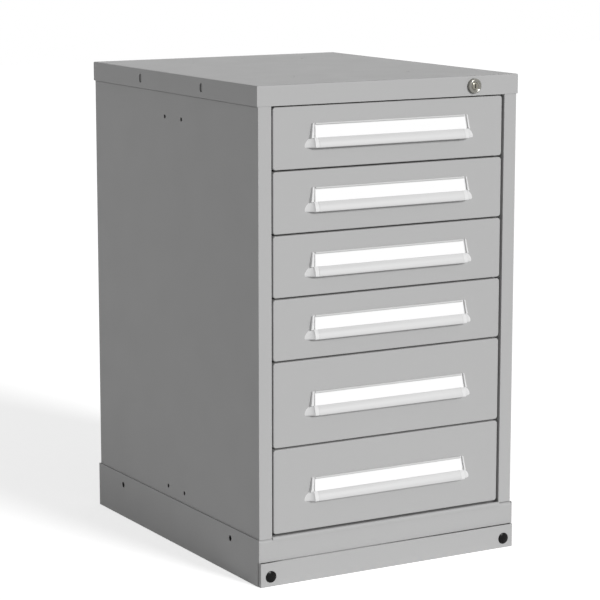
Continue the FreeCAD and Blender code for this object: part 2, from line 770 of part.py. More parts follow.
def make_carriage(drawer):
    """The pair of intermediate bars that carry a drawer half way out, with their rollers."""
    number = drawer["number"]
    start = cap_front + s.carriage_start
    end = cap_back - s.carriage_rear
    middle = (start + end) / 2
    pieces = []
    for side in (-1, 1):
        label = f"carriage_{number}_{'left' if side < 0 else 'right'}"
        low = bar_inner if side > 0 else -bar_outer
        pieces.append(box(
            f"{label}_bar", low, start, drawer["runner_z"] - s.carriage_height / 2,
            s.carriage_sheet, end - start, s.carriage_height))
        drawer_rollers = (start + s.roller_inset, middle - s.roller_middle)
        housing_rollers = (middle + s.roller_middle, end - s.roller_inset)
        inwards = -bar_inner if side < 0 else bar_inner - s.roller_width
        outwards = bar_outer if side > 0 else -bar_outer - s.roller_width
        for row, low_x, places in (("inner", inwards, drawer_rollers), ("outer", outwards, housing_rollers)):
            for index, roller_y in enumerate(places):
                pieces.append(rod(
                    f"{label}_{row}_roller_{index}", "x", low_x, roller_y, drawer["runner_z"],
                    s.roller_diameter, s.roller_width))
    node(gather(f"carriage_{number}_set", pieces), f"carriage_{number}")


# ---------------------------------------------------------------- drawers

def make_drawer_front(drawer):
    """A folded pan with round corners and an inner lip, and the lock's catch behind it."""
    name = f"drawer_front_{drawer['number']}"
    body = new_body(name)
    half = half_front
    low, high = drawer["low"], drawer["high"]
    sheet = s.front_sheet
    face = sketch_on(body, f"{name}_face", "XZ_Plane", -(face_y + s.front_depth))
    outline(face, round_rectangle(half, low, high, s.front_corner))
    pad(body, face, s.front_depth, f"{name}_block")
    doc.recompute()
    hollow = sketch_on(body, f"{name}_hollow_face", "XZ_Plane", -(face_y + s.front_depth - sheet))
    outline(hollow, round_rectangle(
        half - sheet, low + sheet, high - sheet, s.front_corner - sheet))
    pocket(body, hollow, s.front_depth - sheet * 2, f"{name}_hollow", backwards=True)
    mouth = sketch_on(body, f"{name}_mouth_face", "XZ_Plane", -(face_y + s.front_depth + sheet))
    outline(mouth, rectangle(
        -half + s.front_lip, low + s.front_lip, half - s.front_lip, high - s.front_lip))
    pocket(body, mouth, sheet * 3, f"{name}_mouth", backwards=True)
    node(gather(f"{name}_pair", [body, make_catch(name, low + s.catch_level)]), name)


def make_catch(name, level):
    """The bent tab on a drawer front's lip that the gang bar's lug drops behind."""
    body = new_body(f"{name}_catch")
    section = sketch_on(body, f"{name}_catch_section", "YZ_Plane", catch_x)
    thick = s.catch_sheet
    foot = level - s.catch_foot
    tip = tray_front + s.catch_reach
    outline(section, [
        (tray_front, foot), (tray_front + thick, foot), (tray_front + thick, level),
        (tip, level), (tip, level + s.catch_rise), (tip - thick, level + s.catch_rise),
        (tip - thick, level + thick), (tray_front, level + thick),
    ])
    pad(body, section, s.catch_width, f"{name}_catch_tab", midplane=True)
    return body


def make_tray(drawer):
    """An open steel tray with a runner channel spot-welded along each side."""
    name = f"drawer_tray_{drawer['number']}"
    sheet = s.tray_sheet
    shell = box(
        f"{name}_block", -half_tray, tray_front, drawer["tray_z"],
        half_tray * 2, tray_depth, drawer["tray_height"])
    space = box(
        f"{name}_space", -half_tray + sheet, tray_front + sheet, drawer["tray_z"] + sheet,
        (half_tray - sheet) * 2, tray_depth - sheet * 2, drawer["tray_height"])
    pieces = [cut(f"{name}_shell", shell, [space])]
    start = cap_front + s.drawer_channel_start
    end = cap_back - s.drawer_channel_rear
    for side in (-1, 1):
        label = f"{name}_{'left' if side < 0 else 'right'}"
        body = new_body(label)
        section = sketch_on(body, f"{label}_section", "XZ_Plane", -end)
        channel_section(section, half_tray, s.drawer_channel, side)
        pad(body, section, end - start, f"{label}_channel")
        place(body, ZERO, ZERO, drawer["runner_z"])
        pieces.append(body)
    node(gather(f"{name}_welded", pieces), name)


def make_dividers(drawer):
    """Upright strips that part the tray into lanes, each with a folded foot."""
    name = f"slide_dividers_{drawer['number']}"
    count = drawer["dividers"]
    sheet = s.tray_sheet
    start = tray_front + sheet
    length = tray_depth - sheet * 2
    space = (half_tray - sheet) * 2
    lane = (space - s.divider_sheet * count) / (count + 1)
    strips = []
    for index in range(1, count + 1):
        body = new_body(f"{name}_{index}")
        section = sketch_on(body, f"{body.Name}_section", "XZ_Plane", -(start + length))
        low = -half_tray + sheet + lane * index + s.divider_sheet * (index - 1)
        floor = drawer["tray_z"] + sheet
        foot = s.divider_fold
        high = low + s.divider_sheet
        outline(section, [
            (high, floor), (high, floor + drawer["divider_height"]),
            (low, floor + drawer["divider_height"]), (low, floor + s.divider_sheet),
            (high - foot, floor + s.divider_sheet), (high - foot, floor),
        ])
        pad(body, section, length, f"{body.Name}_strip")
        strips.append(body)
    node(gather(f"{name}_set", strips), name)


# ---------------------------------------------------------------- handles

def handle_section(drawer):
    """Named corners of the handle's side view, as stand-off from the drawer and height."""
    low = drawer["handle_z"]
    top = low + s.handle_height
    window_top = top - s.rim_height
    window_low = window_top - s.label_height
    return low, window_low, window_top, top


def out(distance):
    """A stand-off from the drawer front as a place along Y."""
    return face_y - distance


def make_handle(drawer):
    """A drawn profile: rim, label channel and a hollow grip that flares out below."""
    name = f"handle_{drawer['number']}"
    body = new_body(name)
    section = sketch_on(body, f"{name}_section", "YZ_Plane")
    low, window_low, window_top, top = handle_section(drawer)
    rim = s.rim_depth
    nose = s.grip_nose
    inner = s.grip_depth - s.grip_sheet
    root = window_low - s.grip_sheet
    outline(section, [
        (out(ZERO), top), (out(rim - nose), top), (out(rim), top - nose, nose, 1),
        (out(rim), window_top), (out(rim - s.label_recess), window_top),
        (out(s.grip_depth - s.label_recess), window_low), (out(s.grip_depth), window_low),
        (out(s.handle_depth), low + nose, s.grip_curve, -1),
        (out(s.handle_depth - nose), low, nose, 1),
        (out(s.handle_depth - s.grip_sheet), low),
        (out(inner), root, s.grip_curve, 1), (out(ZERO), root),
    ])
    pad(body, section, handle_half * 2, f"{name}_profile", midplane=True)
    node(body, name)


def make_handle_ends(drawer):
    """A left and a right end cap, lofted so that each flares out towards its foot."""
    number = drawer["number"]
    low, window_low, window_top, top = handle_section(drawer)
    narrow = handle_half + s.end_top
    wide = handle_half + s.end_flare
    nose = s.grip_nose
    label_depth = (s.grip_depth + s.rim_depth) / 2
    levels = (
        (low, s.handle_depth - nose, wide - nose),
        (low + nose, s.handle_depth, wide),
        ((low + window_low) / 2, s.grip_depth + s.end_hollow, narrow + (wide - narrow) * FLARE[0]),
        (window_low, s.grip_depth, narrow + (wide - narrow) * FLARE[1]),
        ((window_low + window_top) / 2, label_depth, narrow + (wide - narrow) * FLARE[2]),
        (top, s.rim_depth, narrow),
    )
    ends = []
    for side in (-1, 1):
        label = f"handle_end_{number}_{'left' if side < 0 else 'right'}"
        body = new_body(label)
        sections = []
        for index, (level, depth, reach) in enumerate(levels):
            plan = sketch_on(body, f"{label}_plan_{index}", "XY_Plane", level)
            front = handle_half + s.end_front + (reach - narrow) * FRONT_FLARE
            corners = [
                (handle_half, out(ZERO)), (reach, out(ZERO)),
                (front, out(depth)), (handle_half, out(depth)),
            ]
            outline(plan, [(x * side, y) for x, y in corners])
            sections.append(plan)
        loft = body.newObject("PartDesign::AdditiveLoft", f"{label}_loft")
        loft.Profile = sections[0]
        loft.Sections = sections[1:]
        loft.Ruled = True
        ends.append(body)
    node(gather(f"handle_ends_{number}_pair", ends), f"handle_ends_{number}")


def make_label_card(drawer):
    """The card that slides into the handle's channel."""
    name = f"label_card_{drawer['number']}"
    body = new_body(name)
    section = sketch_on(body, f"{name}_section", "YZ_Plane")
    low, window_low, window_top, top = handle_section(drawer)
    shallow = s.rim_depth - s.label_recess
    deep = s.grip_depth - s.label_recess
    card = s.card_sheet
    outline(section, [
        (out(deep), window_low), (out(shallow), window_top),
        (out(shallow + card), window_top), (out(deep + card), window_low),
    ])
    pad(body, section, (handle_half - s.label_air) * 2, f"{name}_sheet", midplane=True)
    node(body, name)


# ---------------------------------------------------------------- lock

def make_lock_cylinder():
    """Bezel and barrel, turned, with a bore for the key plug."""
    body = new_body("lock_cylinder")
    section = sketch_on(body, "lock_section", "XY_Plane")
    bezel = s.lock_bezel / 2
    barrel = s.lock_barrel / 2
    bore = s.plug_bore / 2 + s.plug_clearance
    bevel = s.bezel_bevel
    outline(section, [
        (bore, -s.bezel_depth), (bezel - bevel, -s.bezel_depth),
        (bezel, -s.bezel_depth + bevel), (bezel, ZERO), (barrel, ZERO),
        (barrel, s.barrel_length), (bore, s.barrel_length),
    ])
    turned = body.newObject("PartDesign::Revolution", "lock_turning")
    turned.Profile = section
    turned.ReferenceAxis = (section, ["V_Axis"])
    turned.Angle = 360
    place(body, lock_x, cap_front, lock_z)
    node(body, "lock_cylinder")


def make_lock_plug():
    """The key plug, its key slot, and the cam with a crank pin behind it."""
    start = cap_front - s.bezel_depth + s.plug_recess
    cam_y = cap_front + s.barrel_length + s.pin_air
    end = cam_y + s.crank_sheet
    plug = rod("key_plug_rod", "y", lock_x, start, lock_z, s.plug_bore, end - start)
    slot = box(
        "keyway", lock_x - s.keyway_height / 2, start - s.plug_recess,
        lock_z - s.keyway_width / 2, s.keyway_height, s.keyway_depth + s.plug_recess,
        s.keyway_width)
    cam = box(
        "cam_web", lock_x, cam_y, lock_z - s.crank_width / 2,
        s.crank_radius, s.crank_sheet, s.crank_width)
    cam_end = rod(
        "cam_end", "y", lock_x + s.crank_radius, cam_y, lock_z,
        s.crank_width, s.crank_sheet)
    pin = rod(
        "crank_pin_rod", "y", lock_x + s.crank_radius, cam_y, lock_z,
        s.crank_pin, bar_y + s.bar_sheet + s.pin_air - cam_y)
    whole = fuse("lock_plug_fused", [plug, cam, cam_end, pin])
    node(cut("lock_plug_cut", whole, [slot]), "lock_plug")


def make_lock_bar(drawers):
    """The gang bar: a strip with a lug over each drawer's catch, and a forked arm to the lock."""
    foot = first_line + s.bar_foot
    top = lock_z + s.bar_arm / 2
    pieces = [box(
        "bar_strip", lock_bar_inner, bar_y, foot, s.bar_width, s.bar_sheet, top - foot)]
    arm_low = lock_x - s.arm_reach
    arm = box(
        "bar_arm_plate", arm_low, bar_y, lock_z - s.bar_arm / 2,
        lock_bar_inner - arm_low, s.bar_sheet, s.bar_arm)
    around = s.crank_pin / 2 + s.pin_air
    fork = box(
        "bar_fork", arm_low - s.bar_sheet, bar_y - s.bar_sheet, lock_z - around - s.pin_lost_motion,
        s.bar_sheet + s.arm_reach + s.crank_radius + around, s.bar_sheet * THROUGH,
        around * 2 + s.pin_lost_motion)
    pieces.append(cut("bar_arm_forked", arm, [fork]))
    for drawer in drawers:
        tab_top = drawer["low"] + s.catch_level + s.catch_sheet
        lug_low = tab_top + s.crank_radius + s.lug_air
        pieces.append(box(
            f"bar_lug_{drawer['number']}", lock_bar_inner - s.lug_width, bar_y, lug_low,
            s.lug_width, s.bar_sheet, s.lug_height))
    node(gather("lock_bar_set", pieces), "lock_bar")


# ---------------------------------------------------------------- assembly

def list_drawers():
    """Number the drawers from the top down and work out where each one lies."""
    drawers = []
    line = first_line
    total = DEEP_DRAWERS + SHALLOW_DRAWERS
    for index in range(total):
        deep = index < DEEP_DRAWERS
        number = total - index
        pitch = s.deep_pitch if deep else shallow_pitch
        low = line + s.front_gap / 2
        line = line + pitch
        high = line - s.front_gap / 2
        if deep:
            drop = s.handle_drop_deep
        elif number > total - DEEP_DRAWERS - SHALLOW_DRAWERS // 2:
            drop = s.handle_drop_middle
        else:
            drop = s.handle_drop_top
        tray_z = low + s.tray_lift
        tray_height = pitch - s.tray_headroom
        drawers.append({
            "number": number, "low": low, "high": high, "tray_z": tray_z,
            "tray_height": tray_height,
            "runner_z": tray_z + s.runner_level,
            "dividers": DEEP_DIVIDERS if deep else SHALLOW_DIVIDERS,
            "divider_height": tray_height - s.divider_drop,
            "handle_z": line - drop - s.handle_height,
        })
    return drawers


def build():
    drawers = list_drawers()
    make_top_cap()
    make_side("left_side", -1)
    make_side("right_side", 1)
    make_back_panel()
    make_floor_pan()
    make_base_side("base_left", -1)
    make_base_side("base_right", 1)
    make_front_rail()
    make_base_back()
    make_base_cover()
    make_cover_plugs()
    make_uprights("front_uprights", cap_front + s.upright_front)
    make_uprights("rear_uprights", cap_back - s.upright_rear - s.upright_width)
    make_runner_channels("runner_channels_left", -1, drawers)
    make_runner_channels("runner_channels_right", 1, drawers)
    make_lock_cylinder()
    make_lock_plug()
    make_lock_bar(drawers)
    for drawer in drawers:
        make_drawer_front(drawer)
        make_tray(drawer)
        make_dividers(drawer)
        make_handle(drawer)
        make_handle_ends(drawer)
        make_label_card(drawer)
        make_carriage(drawer)


def check_and_write():
    """Refuse a failed feature or a broken shape, then write one file for each node."""
    doc.recompute()
    for item in doc.Objects:
        if "Invalid" in item.State or "Error" in item.State:
            raise RuntimeError(f"{item.Label} failed: {item.State}")
    for item in nodes:
        if item.Shape.isNull() or not item.Shape.isValid() or not item.Shape.Solids:
            raise RuntimeError(f"{item.Label} has no valid shape")
    os.makedirs("parts", exist_ok=True)
    for item in nodes:
        item.Shape.exportStep(f"parts/{item.Label}.step")


build()
check_and_write()
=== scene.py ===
import math

import bmesh
import bpy
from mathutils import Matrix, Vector


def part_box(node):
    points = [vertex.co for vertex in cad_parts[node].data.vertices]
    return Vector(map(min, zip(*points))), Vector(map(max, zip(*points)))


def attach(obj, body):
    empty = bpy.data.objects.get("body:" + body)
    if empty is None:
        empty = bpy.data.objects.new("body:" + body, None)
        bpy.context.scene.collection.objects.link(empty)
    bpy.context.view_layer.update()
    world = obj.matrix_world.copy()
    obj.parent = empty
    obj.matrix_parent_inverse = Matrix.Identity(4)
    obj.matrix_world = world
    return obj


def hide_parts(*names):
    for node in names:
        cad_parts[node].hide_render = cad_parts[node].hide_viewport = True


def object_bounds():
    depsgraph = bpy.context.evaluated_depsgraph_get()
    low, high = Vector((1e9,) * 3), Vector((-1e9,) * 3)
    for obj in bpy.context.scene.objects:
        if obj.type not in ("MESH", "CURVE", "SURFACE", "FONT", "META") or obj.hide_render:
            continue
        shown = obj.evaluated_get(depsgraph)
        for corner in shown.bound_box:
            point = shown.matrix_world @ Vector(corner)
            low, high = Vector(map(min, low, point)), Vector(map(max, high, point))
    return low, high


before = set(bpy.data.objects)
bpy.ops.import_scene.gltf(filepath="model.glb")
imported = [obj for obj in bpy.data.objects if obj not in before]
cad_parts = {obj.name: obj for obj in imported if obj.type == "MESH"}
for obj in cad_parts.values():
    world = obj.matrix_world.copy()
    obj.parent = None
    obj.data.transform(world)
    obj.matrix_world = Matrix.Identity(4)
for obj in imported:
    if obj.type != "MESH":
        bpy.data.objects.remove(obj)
CAD_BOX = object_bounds()

bl_info = {
    "name": "Slide cabinet dressing",
    "version": (1, 0, 0),
    "blender": (4, 5, 0),
    "location": "3D View > Sidebar > Cabinet",
    "description": "Dresses a steel slide cabinet with its finishes and details",
    "category": "Object",
}

DRAWERS = range(1, 7)
MM = 0.001
WHITE = (1.0, 1.0, 1.0, 1.0)
HEAD_SIZES = ("Head diameter", "Head height", "Pin diameter")
QUARTER = [math.radians(15 * step) for step in range(7)]


# -------- settings

def colour(name, meaning, *values):
    return bpy.props.FloatVectorProperty(
        name=name, description=meaning, default=values, subtype="COLOR", min=0.0, max=1.0)


def setting(name, meaning, value, **more):
    return bpy.props.FloatProperty(name=name, description=meaning, default=value, **more)


def length(name, meaning, millimetres):
    return setting(name, meaning, millimetres * MM, subtype="DISTANCE", unit="LENGTH", min=0.0,
                   precision=4)


class CabinetFinish(bpy.types.PropertyGroup):
    enamel: colour("Enamel", "Grey baked enamel on the sheet steel", 0.445, 0.445, 0.445)
    alloy: colour("Handle aluminium", "Satin anodised handle extrusion", 0.65, 0.65, 0.65)
    plastic: colour("Handle end plastic", "Pale grey moulded handle ends", 0.75, 0.75, 0.75)
    card: colour("Label card", "White label strip", 0.97, 0.97, 0.97)
    black: colour("Plug plastic", "Black hole plugs in the base cover", 0.005, 0.005, 0.005)
    zinc: colour("Zinc plate", "Bright zinc plate on the hidden hardware", 0.55, 0.56, 0.57)
    nickel: colour("Lock nickel", "Warm nickel plate on the lock", 0.255, 0.25, 0.228)
    brass: colour("Lock brass", "Nickelled brass of the turning plug", 0.25, 0.24, 0.205)


class CabinetSheetMetal(bpy.types.PropertyGroup):
    eased: length("Eased edge", "Flat that the sheets' cut edges are eased by", 0.25)
    rolled: length("Rolled edge", "Outer bend round a drawer front's face", 2.2)
    corner: length("Front corner", "Corner radius of a drawer front", 6.0)
    fold: length("Front fold", "Depth of a drawer front's folded edge", 18.0)
    lip: length("Front lip", "Inner lip behind a drawer front", 12.0)
    sheet: length("Front sheet", "Thickness of a drawer front", 1.2)
    hem: length("Tray hem", "Height of the hem folded inside a tray's rim", 7.0)
    hem_sheet: length("Hem sheet", "Thickness of that hem", 0.9)
    channel: length("Tray channel", "Depth of the runner channel on a tray's side", 10.9)
    tray_sheet: length("Tray sheet", "Thickness of a tray's walls", 1.0)
    rail_lip: length("Rail lip", "Rolled crest of the base rail between the posts", 4.0)
    gap: length("Lowest gap", "Gap between that crest and the lowest drawer front", 3.0)
    joint: length("Post joint", "Open joint under the right post", 0.9)
    cap_joint: length("Cap joint", "Open joint under the cap at the sides", 1.3)
    cap_joint_depth: length("Cap joint depth", "Depth of that joint", 0.9)


class CabinetHandle(bpy.types.PropertyGroup):
    rim_height: length("Rim height", "Rim above the label", 2.4)
    rim_depth: length("Rim depth", "Stand-off of the rim", 4.0)
    label: length("Label height", "Visible height of the label's channel", 24.4)
    recess: length("Label recess", "Label channel behind the rim", 2.4)
    grip: length("Grip depth", "Stand-off of the grip's upper edge", 7.0)
    wall: length("Grip wall", "Wall of the grip", 2.2)
    nose: length("Grip nose", "Rounding of the grip's lower edge", 2.2)
    swell: length("Grip swell", "Radius of the grip's full front", 30.0)
    overlap: length("End overlap", "How far an end laps over the grip", 3.6)
    rim_round: length("Rim rounding", "Rounding of the rim's upper edge", 0.8)
    land_top: length("Land top", "How far the card reaches into an end, at the top", 1.3)
    land_more: length("Land more", "How much further it reaches at its foot", 1.6)
    groove_depth: length("Groove depth", "Groove between an end's rib and its land", 3.4)
    band: length("End band", "Front corner of an end past the grip's joint line", 5.5)
    end_top: length("End root", "Root of an end past the extrusion, at the top", 6.8)
    end_flare: length("End flare", "Root of an end past the extrusion, at the foot", 21.5)
    end_round: length("End rounding", "Rounding of an end's upper and front corners", 1.3)
    end_nose: length("End nose", "Rounding of an end's foot", 2.8)
    seam: length("Seam", "Small bevel at the joint of end and extrusion", 0.5)


class CabinetRivets(bpy.types.PropertyGroup):
    blind: length("Blind rivet", "Head of the rivets round the back panel", 6.4)
    blind_height: length("Blind rivet height", "Height of those heads", 1.0)
    spacing: length("Blind rivet spacing", "Longest distance between two of them", 105.0)
    weld: length("Spot weld", "Mark of a spot weld", 5.0)
    weld_height: length("Spot weld height", "Height of the mark's edge", 0.15)
    axle: length("Axle head", "Riveted head of a roller's axle", 9.0)
    axle_height: length("Axle head height", "Height of that head", 0.5)


class CabinetStudio(bpy.types.PropertyGroup):
    azimuth: setting("Camera azimuth", "Turn of the camera round the cabinet",
                     math.radians(-30.0), subtype="ANGLE")
    elevation: setting("Camera elevation", "Height of the camera over the horizon",
                       math.radians(10.0), subtype="ANGLE")
    distance: setting("Camera distance", "From the aim point to the lens", 4.798,
                      subtype="DISTANCE", unit="LENGTH")
    aim: bpy.props.FloatVectorProperty(
        name="Aim", description="Point in the middle of the picture",
        default=(0.0421, 0.0719, 0.4535), subtype="TRANSLATION", unit="LENGTH")
    focal: setting("Focal length", "Lens in millimetres on a 36 mm sensor", 140.0, min=1.0)
    fill: setting("Fill light", "Plain light from all round", 0.25, min=0.0)
    key: setting("Key light", "Strength of the wide front lamp", 2.28, min=0.0)
    key_width: setting("Key width", "Width of the front lamp seen from the cabinet",
                       math.radians(14.0), subtype="ANGLE")
    key_from: bpy.props.FloatVectorProperty(
        name="Key direction", description="Direction from the cabinet to the front lamp",
        default=(0.25, -1.0, 0.39), subtype="XYZ")
    floor: setting("Floor grey", "Reflection of the pale floor", 0.9, min=0.0, max=1.0)
    glow: setting("Floor white", "White that the camera sees on top of the floor's light",
                  0.62, min=0.0)


# -------- materials

def material(name, inputs):
    """A new material; returns it with its node tree and its shader."""
    made = bpy.data.materials.new(name)
    made.use_nodes = True
    shader = made.node_tree.nodes["Principled BSDF"]
    for socket, value in inputs.items():
        shader.inputs[socket].default_value = value
    return made, made.node_tree, shader


def add(tree, kind, inputs=None, **settings):
    """A new node; each input gets a value, or a link from another node's output."""
    node = tree.nodes.new(kind)
    for name, value in settings.items():
        setattr(node, name, value)
    for socket, value in (inputs or {}).items():
        if isinstance(value, bpy.types.NodeSocket):
            tree.links.new(value, node.inputs[socket])
        else:
            node.inputs[socket].default_value = value
    return node


def feed(tree, source, share, socket):
    """Feeds a socket with a share of a value."""
    times = add(tree, "ShaderNodeMath", {0: source, 1: share}, operation="MULTIPLY")
    tree.links.new(times.outputs["Value"], socket)


def noise(tree, scale, detail=2.0, stretch=(1.0, 1.0, 1.0)):
    """Noise in object coordinates, in features per metre, stretched by an axis."""
    coords = add(tree, "ShaderNodeTexCoord")
    mapping = add(tree, "ShaderNodeMapping", {"Vector": coords.outputs["Object"], "Scale": stretch})
    made = add(tree, "ShaderNodeTexNoise", {"Vector": mapping.outputs["Vector"], "Scale": scale,
                                            "Detail": detail})
    return made.outputs["Fac"]


def spread(tree, source, low, high, start=0.3, end=0.7):
    """Maps a value to a range from low to high."""
    return add(tree, "ShaderNodeMapRange", {"Value": source, "From Min": start, "From Max": end,
                                            "To Min": low, "To Max": high}).outputs["Result"]


def bump(tree, shader, height, strength, distance):
    made = add(tree, "ShaderNodeBump", {"Strength": strength, "Distance": distance,
                                        "Height": height})
    tree.links.new(made.outputs["Normal"], shader.inputs["Normal"])


def tinted(tree, shader, tint, source, amount):
    """Colour that varies a little with a noise."""
    dark = (*[c * (1.0 - amount) for c in tint], 1.0)
    light = (*[min(1.0, c * (1.0 + amount)) for c in tint], 1.0)
    mix = add(tree, "ShaderNodeMix", {"Factor": source, "A": dark, "B": light}, data_type="RGBA")
    tree.links.new(mix.outputs["Result"], shader.inputs["Base Color"])


def finish(name, tint, inputs, clouds, amount, grain, relief, polish=None, rough=()):
    """A material whose colour, polish and relief vary with noises of (scale, detail, stretch)."""
    made, tree, shader = material(name, inputs)
    tinted(tree, shader, tint, noise(tree, *clouds), amount)
    if polish:
        tree.links.new(spread(tree, noise(tree, *polish), *rough), shader.inputs["Roughness"])
    bump(tree, shader, noise(tree, *grain), *relief)
    return made


def enamel_material(name, tint):
    """Baked enamel: a fine orange peel under a thin gloss, with faint clouds in the grey."""
    inputs = {"Roughness": 0.53, "Specular IOR Level": 0.3, "Coat Weight": 0.12,
              "Coat Roughness": 0.22}
    return finish(name, tint, inputs, clouds=(3.0,), amount=0.012, polish=(14.0,),
                  rough=(0.50, 0.56), grain=(650.0, 1.0), relief=(0.05, 0.0003))


def alloy_material(name, tint):
    """Satin anodised aluminium, brushed along the extrusion."""
    inputs = {"Roughness": 0.5, "Metallic": 0.05, "Specular IOR Level": 0.2, "Anisotropic": 0.4}
    streaks = (60.0, 4.0, (0.02, 10.0, 10.0))
    return finish(name, tint, inputs, clouds=streaks, amount=0.07, polish=streaks,
                  rough=(0.42, 0.58), grain=(90.0, 2.0, (0.015, 18.0, 18.0)),
                  relief=(0.12, 0.0002))


def plastic_material(name, tint, roughness, grain, gloss):
    """Moulded plastic with a fine even grain."""
    inputs = {"Roughness": roughness, "Specular IOR Level": gloss}
    return finish(name, tint, inputs, clouds=(40.0,), amount=0.02, polish=(120.0,),
                  rough=(roughness * 0.88, roughness * 1.12), grain=(grain, 1.0),
                  relief=(0.05, 0.0002))


def card_material(name, tint):
    """Uncoated card with short fibres."""
    inputs = {"Roughness": 0.7, "Specular IOR Level": 0.2}
    fibres = (500.0, 3.0, (0.35, 1.0, 1.0))
    return finish(name, tint, inputs, clouds=fibres, amount=0.012, grain=fibres,
                  relief=(0.06, 0.0001))


def plate_material(name, tint, roughness, metallic, scale):
    """Plated metal: clouds in its colour and in its polish."""
    clouds = (scale, 3.0)
    return finish(name, tint, {"Roughness": roughness, "Metallic": metallic}, clouds=clouds,
                  amount=0.06, polish=clouds, rough=(roughness * 0.8, roughness * 1.25),
                  grain=(scale * 9.0, 2.0), relief=(0.04, 0.0001))


# -------- mesh helpers

def put(name, data):
    """A new object in the scene."""
    made = bpy.data.objects.new(name, data)
    bpy.context.scene.collection.objects.link(made)
    return made


def mesh_of(name, form):
    """A form as a mesh with its faces turned outwards; the form is used up."""
    bmesh.ops.recalc_face_normals(form, faces=form.faces)
    mesh = bpy.data.meshes.new(name)
    form.to_mesh(mesh)
    form.free()
    return mesh


def modified(source):
    """The mesh that an object's modifiers make."""
    graph = bpy.context.evaluated_depsgraph_get()
    return bpy.data.meshes.new_from_object(source.evaluated_get(graph), depsgraph=graph)


def finish_piece(name, form, made, body, slot, *nodes, crease=32.0):
    """Turns a form into a finished piece on its body, standing for its CAD nodes."""
    return settle(name, mesh_of(name, form), made, body, slot, *nodes, crease=crease)


def settle(name, mesh, made, body, slot, *nodes, crease):
    """Puts a mesh in the scene with its material, its body and the nodes it stands for."""
    mesh.shade_smooth()
    mesh.set_sharp_from_angle(angle=math.radians(crease))
    mesh.materials.clear()
    mesh.materials.append(made)
    piece = put(name, mesh)
    even = piece.modifiers.new("even_normals", "WEIGHTED_NORMAL")
    even.keep_sharp = True
    even.weight = 100
    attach(piece, body)
    if nodes:
        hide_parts(*nodes)
    return piece


def solid_form(node):
    """A form with a CAD node's own shape, its triangles merged to whole faces."""
    form = bmesh.new()
    form.from_mesh(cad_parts[node].data)
    bmesh.ops.remove_doubles(form, verts=form.verts, dist=1e-6)
    bmesh.ops.dissolve_limit(form, angle_limit=math.radians(0.4), verts=form.verts,
                             edges=form.edges)
    return form


def ease_edges(form, width, least=40.0):
    """Takes a small flat off every sharp edge."""
    sharp = [edge for edge in form.edges
             if len(edge.link_faces) == 2 and edge.calc_face_angle() > math.radians(least)]
    bmesh.ops.bevel(form, geom=sharp, offset=width, segments=1, profile=0.5, affect="EDGES",
                    clamp_overlap=True)


def cut_away(form, tool):
    """A form with another taken away from it; both are used up."""
    solids = [put("cut", mesh_of("cut", shape)) for shape in (form, tool)]
    cut = solids[0].modifiers.new("cut", "BOOLEAN")
    cut.operation = "DIFFERENCE"
    cut.solver = "EXACT"
    cut.object = solids[1]
    meshes = [modified(solids[0])] + [solid.data for solid in solids]
    form = bmesh.new()
    form.from_mesh(meshes[0])
    for solid in solids:
        bpy.data.objects.remove(solid)
    for mesh in meshes:
        bpy.data.meshes.remove(mesh)
    return form


def block(form, low, high):
    """A rectangular block between two corners."""
    skin(form, [ring(form, [(x, low[1], low[2]), (x, high[1], low[2]), (x, high[1], high[2]),
                            (x, low[1], high[2])]) for x in (low[0], high[0])])


def eased_copy(node, made, body, slot, tool=None):
    """A CAD solid with its sheet edges eased, which stands for the solid."""
    form = solid_form(node)
    if tool:
        form = cut_away(form, tool)
    ease_edges(form, bpy.context.scene.cabinet_sheet_metal.eased)
    return finish_piece(f"{node}_dressed", form, made, body, slot, node)


def ring(form, points):
    return [form.verts.new(point) for point in points]


def skin(form, rings, endless=False):
    """Quads along a row of rings, closed by a face at each end or back to the first."""
    for first, second in zip(rings, rings[1:] + rings[:1] * endless):
        for index in range(len(first)):
            after = (index + 1) % len(first)
            form.faces.new((first[index], first[after], second[after], second[index]))
    if not endless:
        form.faces.new(rings[0])
        form.faces.new(rings[-1])


def sweep(form, section, half):
    """A section of (y, z) corners carried from side to side."""
    skin(form, [ring(form, [(x, y, z) for y, z in section]) for x in (-half, half)])


def rounding(radius):
    """Pairs round a quarter turn, from (radius, 0) to (0, radius)."""
    return [(radius * (1 - math.sin(turn)), radius * (1 - math.cos(turn))) for turn in QUARTER]


def turned(form, middle, profile, steps=72):
    """Rings turned round an axis along Y, from (radius, y) corners."""
    turns = [2 * math.pi * step / steps for step in range(steps)]
    return [ring(form, [(middle.x + radius * math.cos(turn), y,
                         middle.z + radius * math.sin(turn)) for turn in turns])
            for radius, y in profile]


def arc(start, end, radius, steps):
    """Points between two corners on an arc; a negative radius bows it the other way."""
    start, end = Vector(start), Vector(end)
    chord = end - start
    across = Vector((-chord.y, chord.x)).normalized()
    rise = math.sqrt(max(radius * radius - (chord.length / 2) ** 2, 0.0))
    centre = (start + end) / 2 + across * math.copysign(rise, radius)
    first = start - centre
    turn = math.copysign(2 * math.asin(min(1.0, chord.length / 2 / abs(radius))), radius)
    angles = [turn * step / steps for step in range(1, steps)]
    return [centre + Vector((first.x * math.cos(angle) - first.y * math.sin(angle),
                             first.x * math.sin(angle) + first.y * math.cos(angle)))
            for angle in angles]


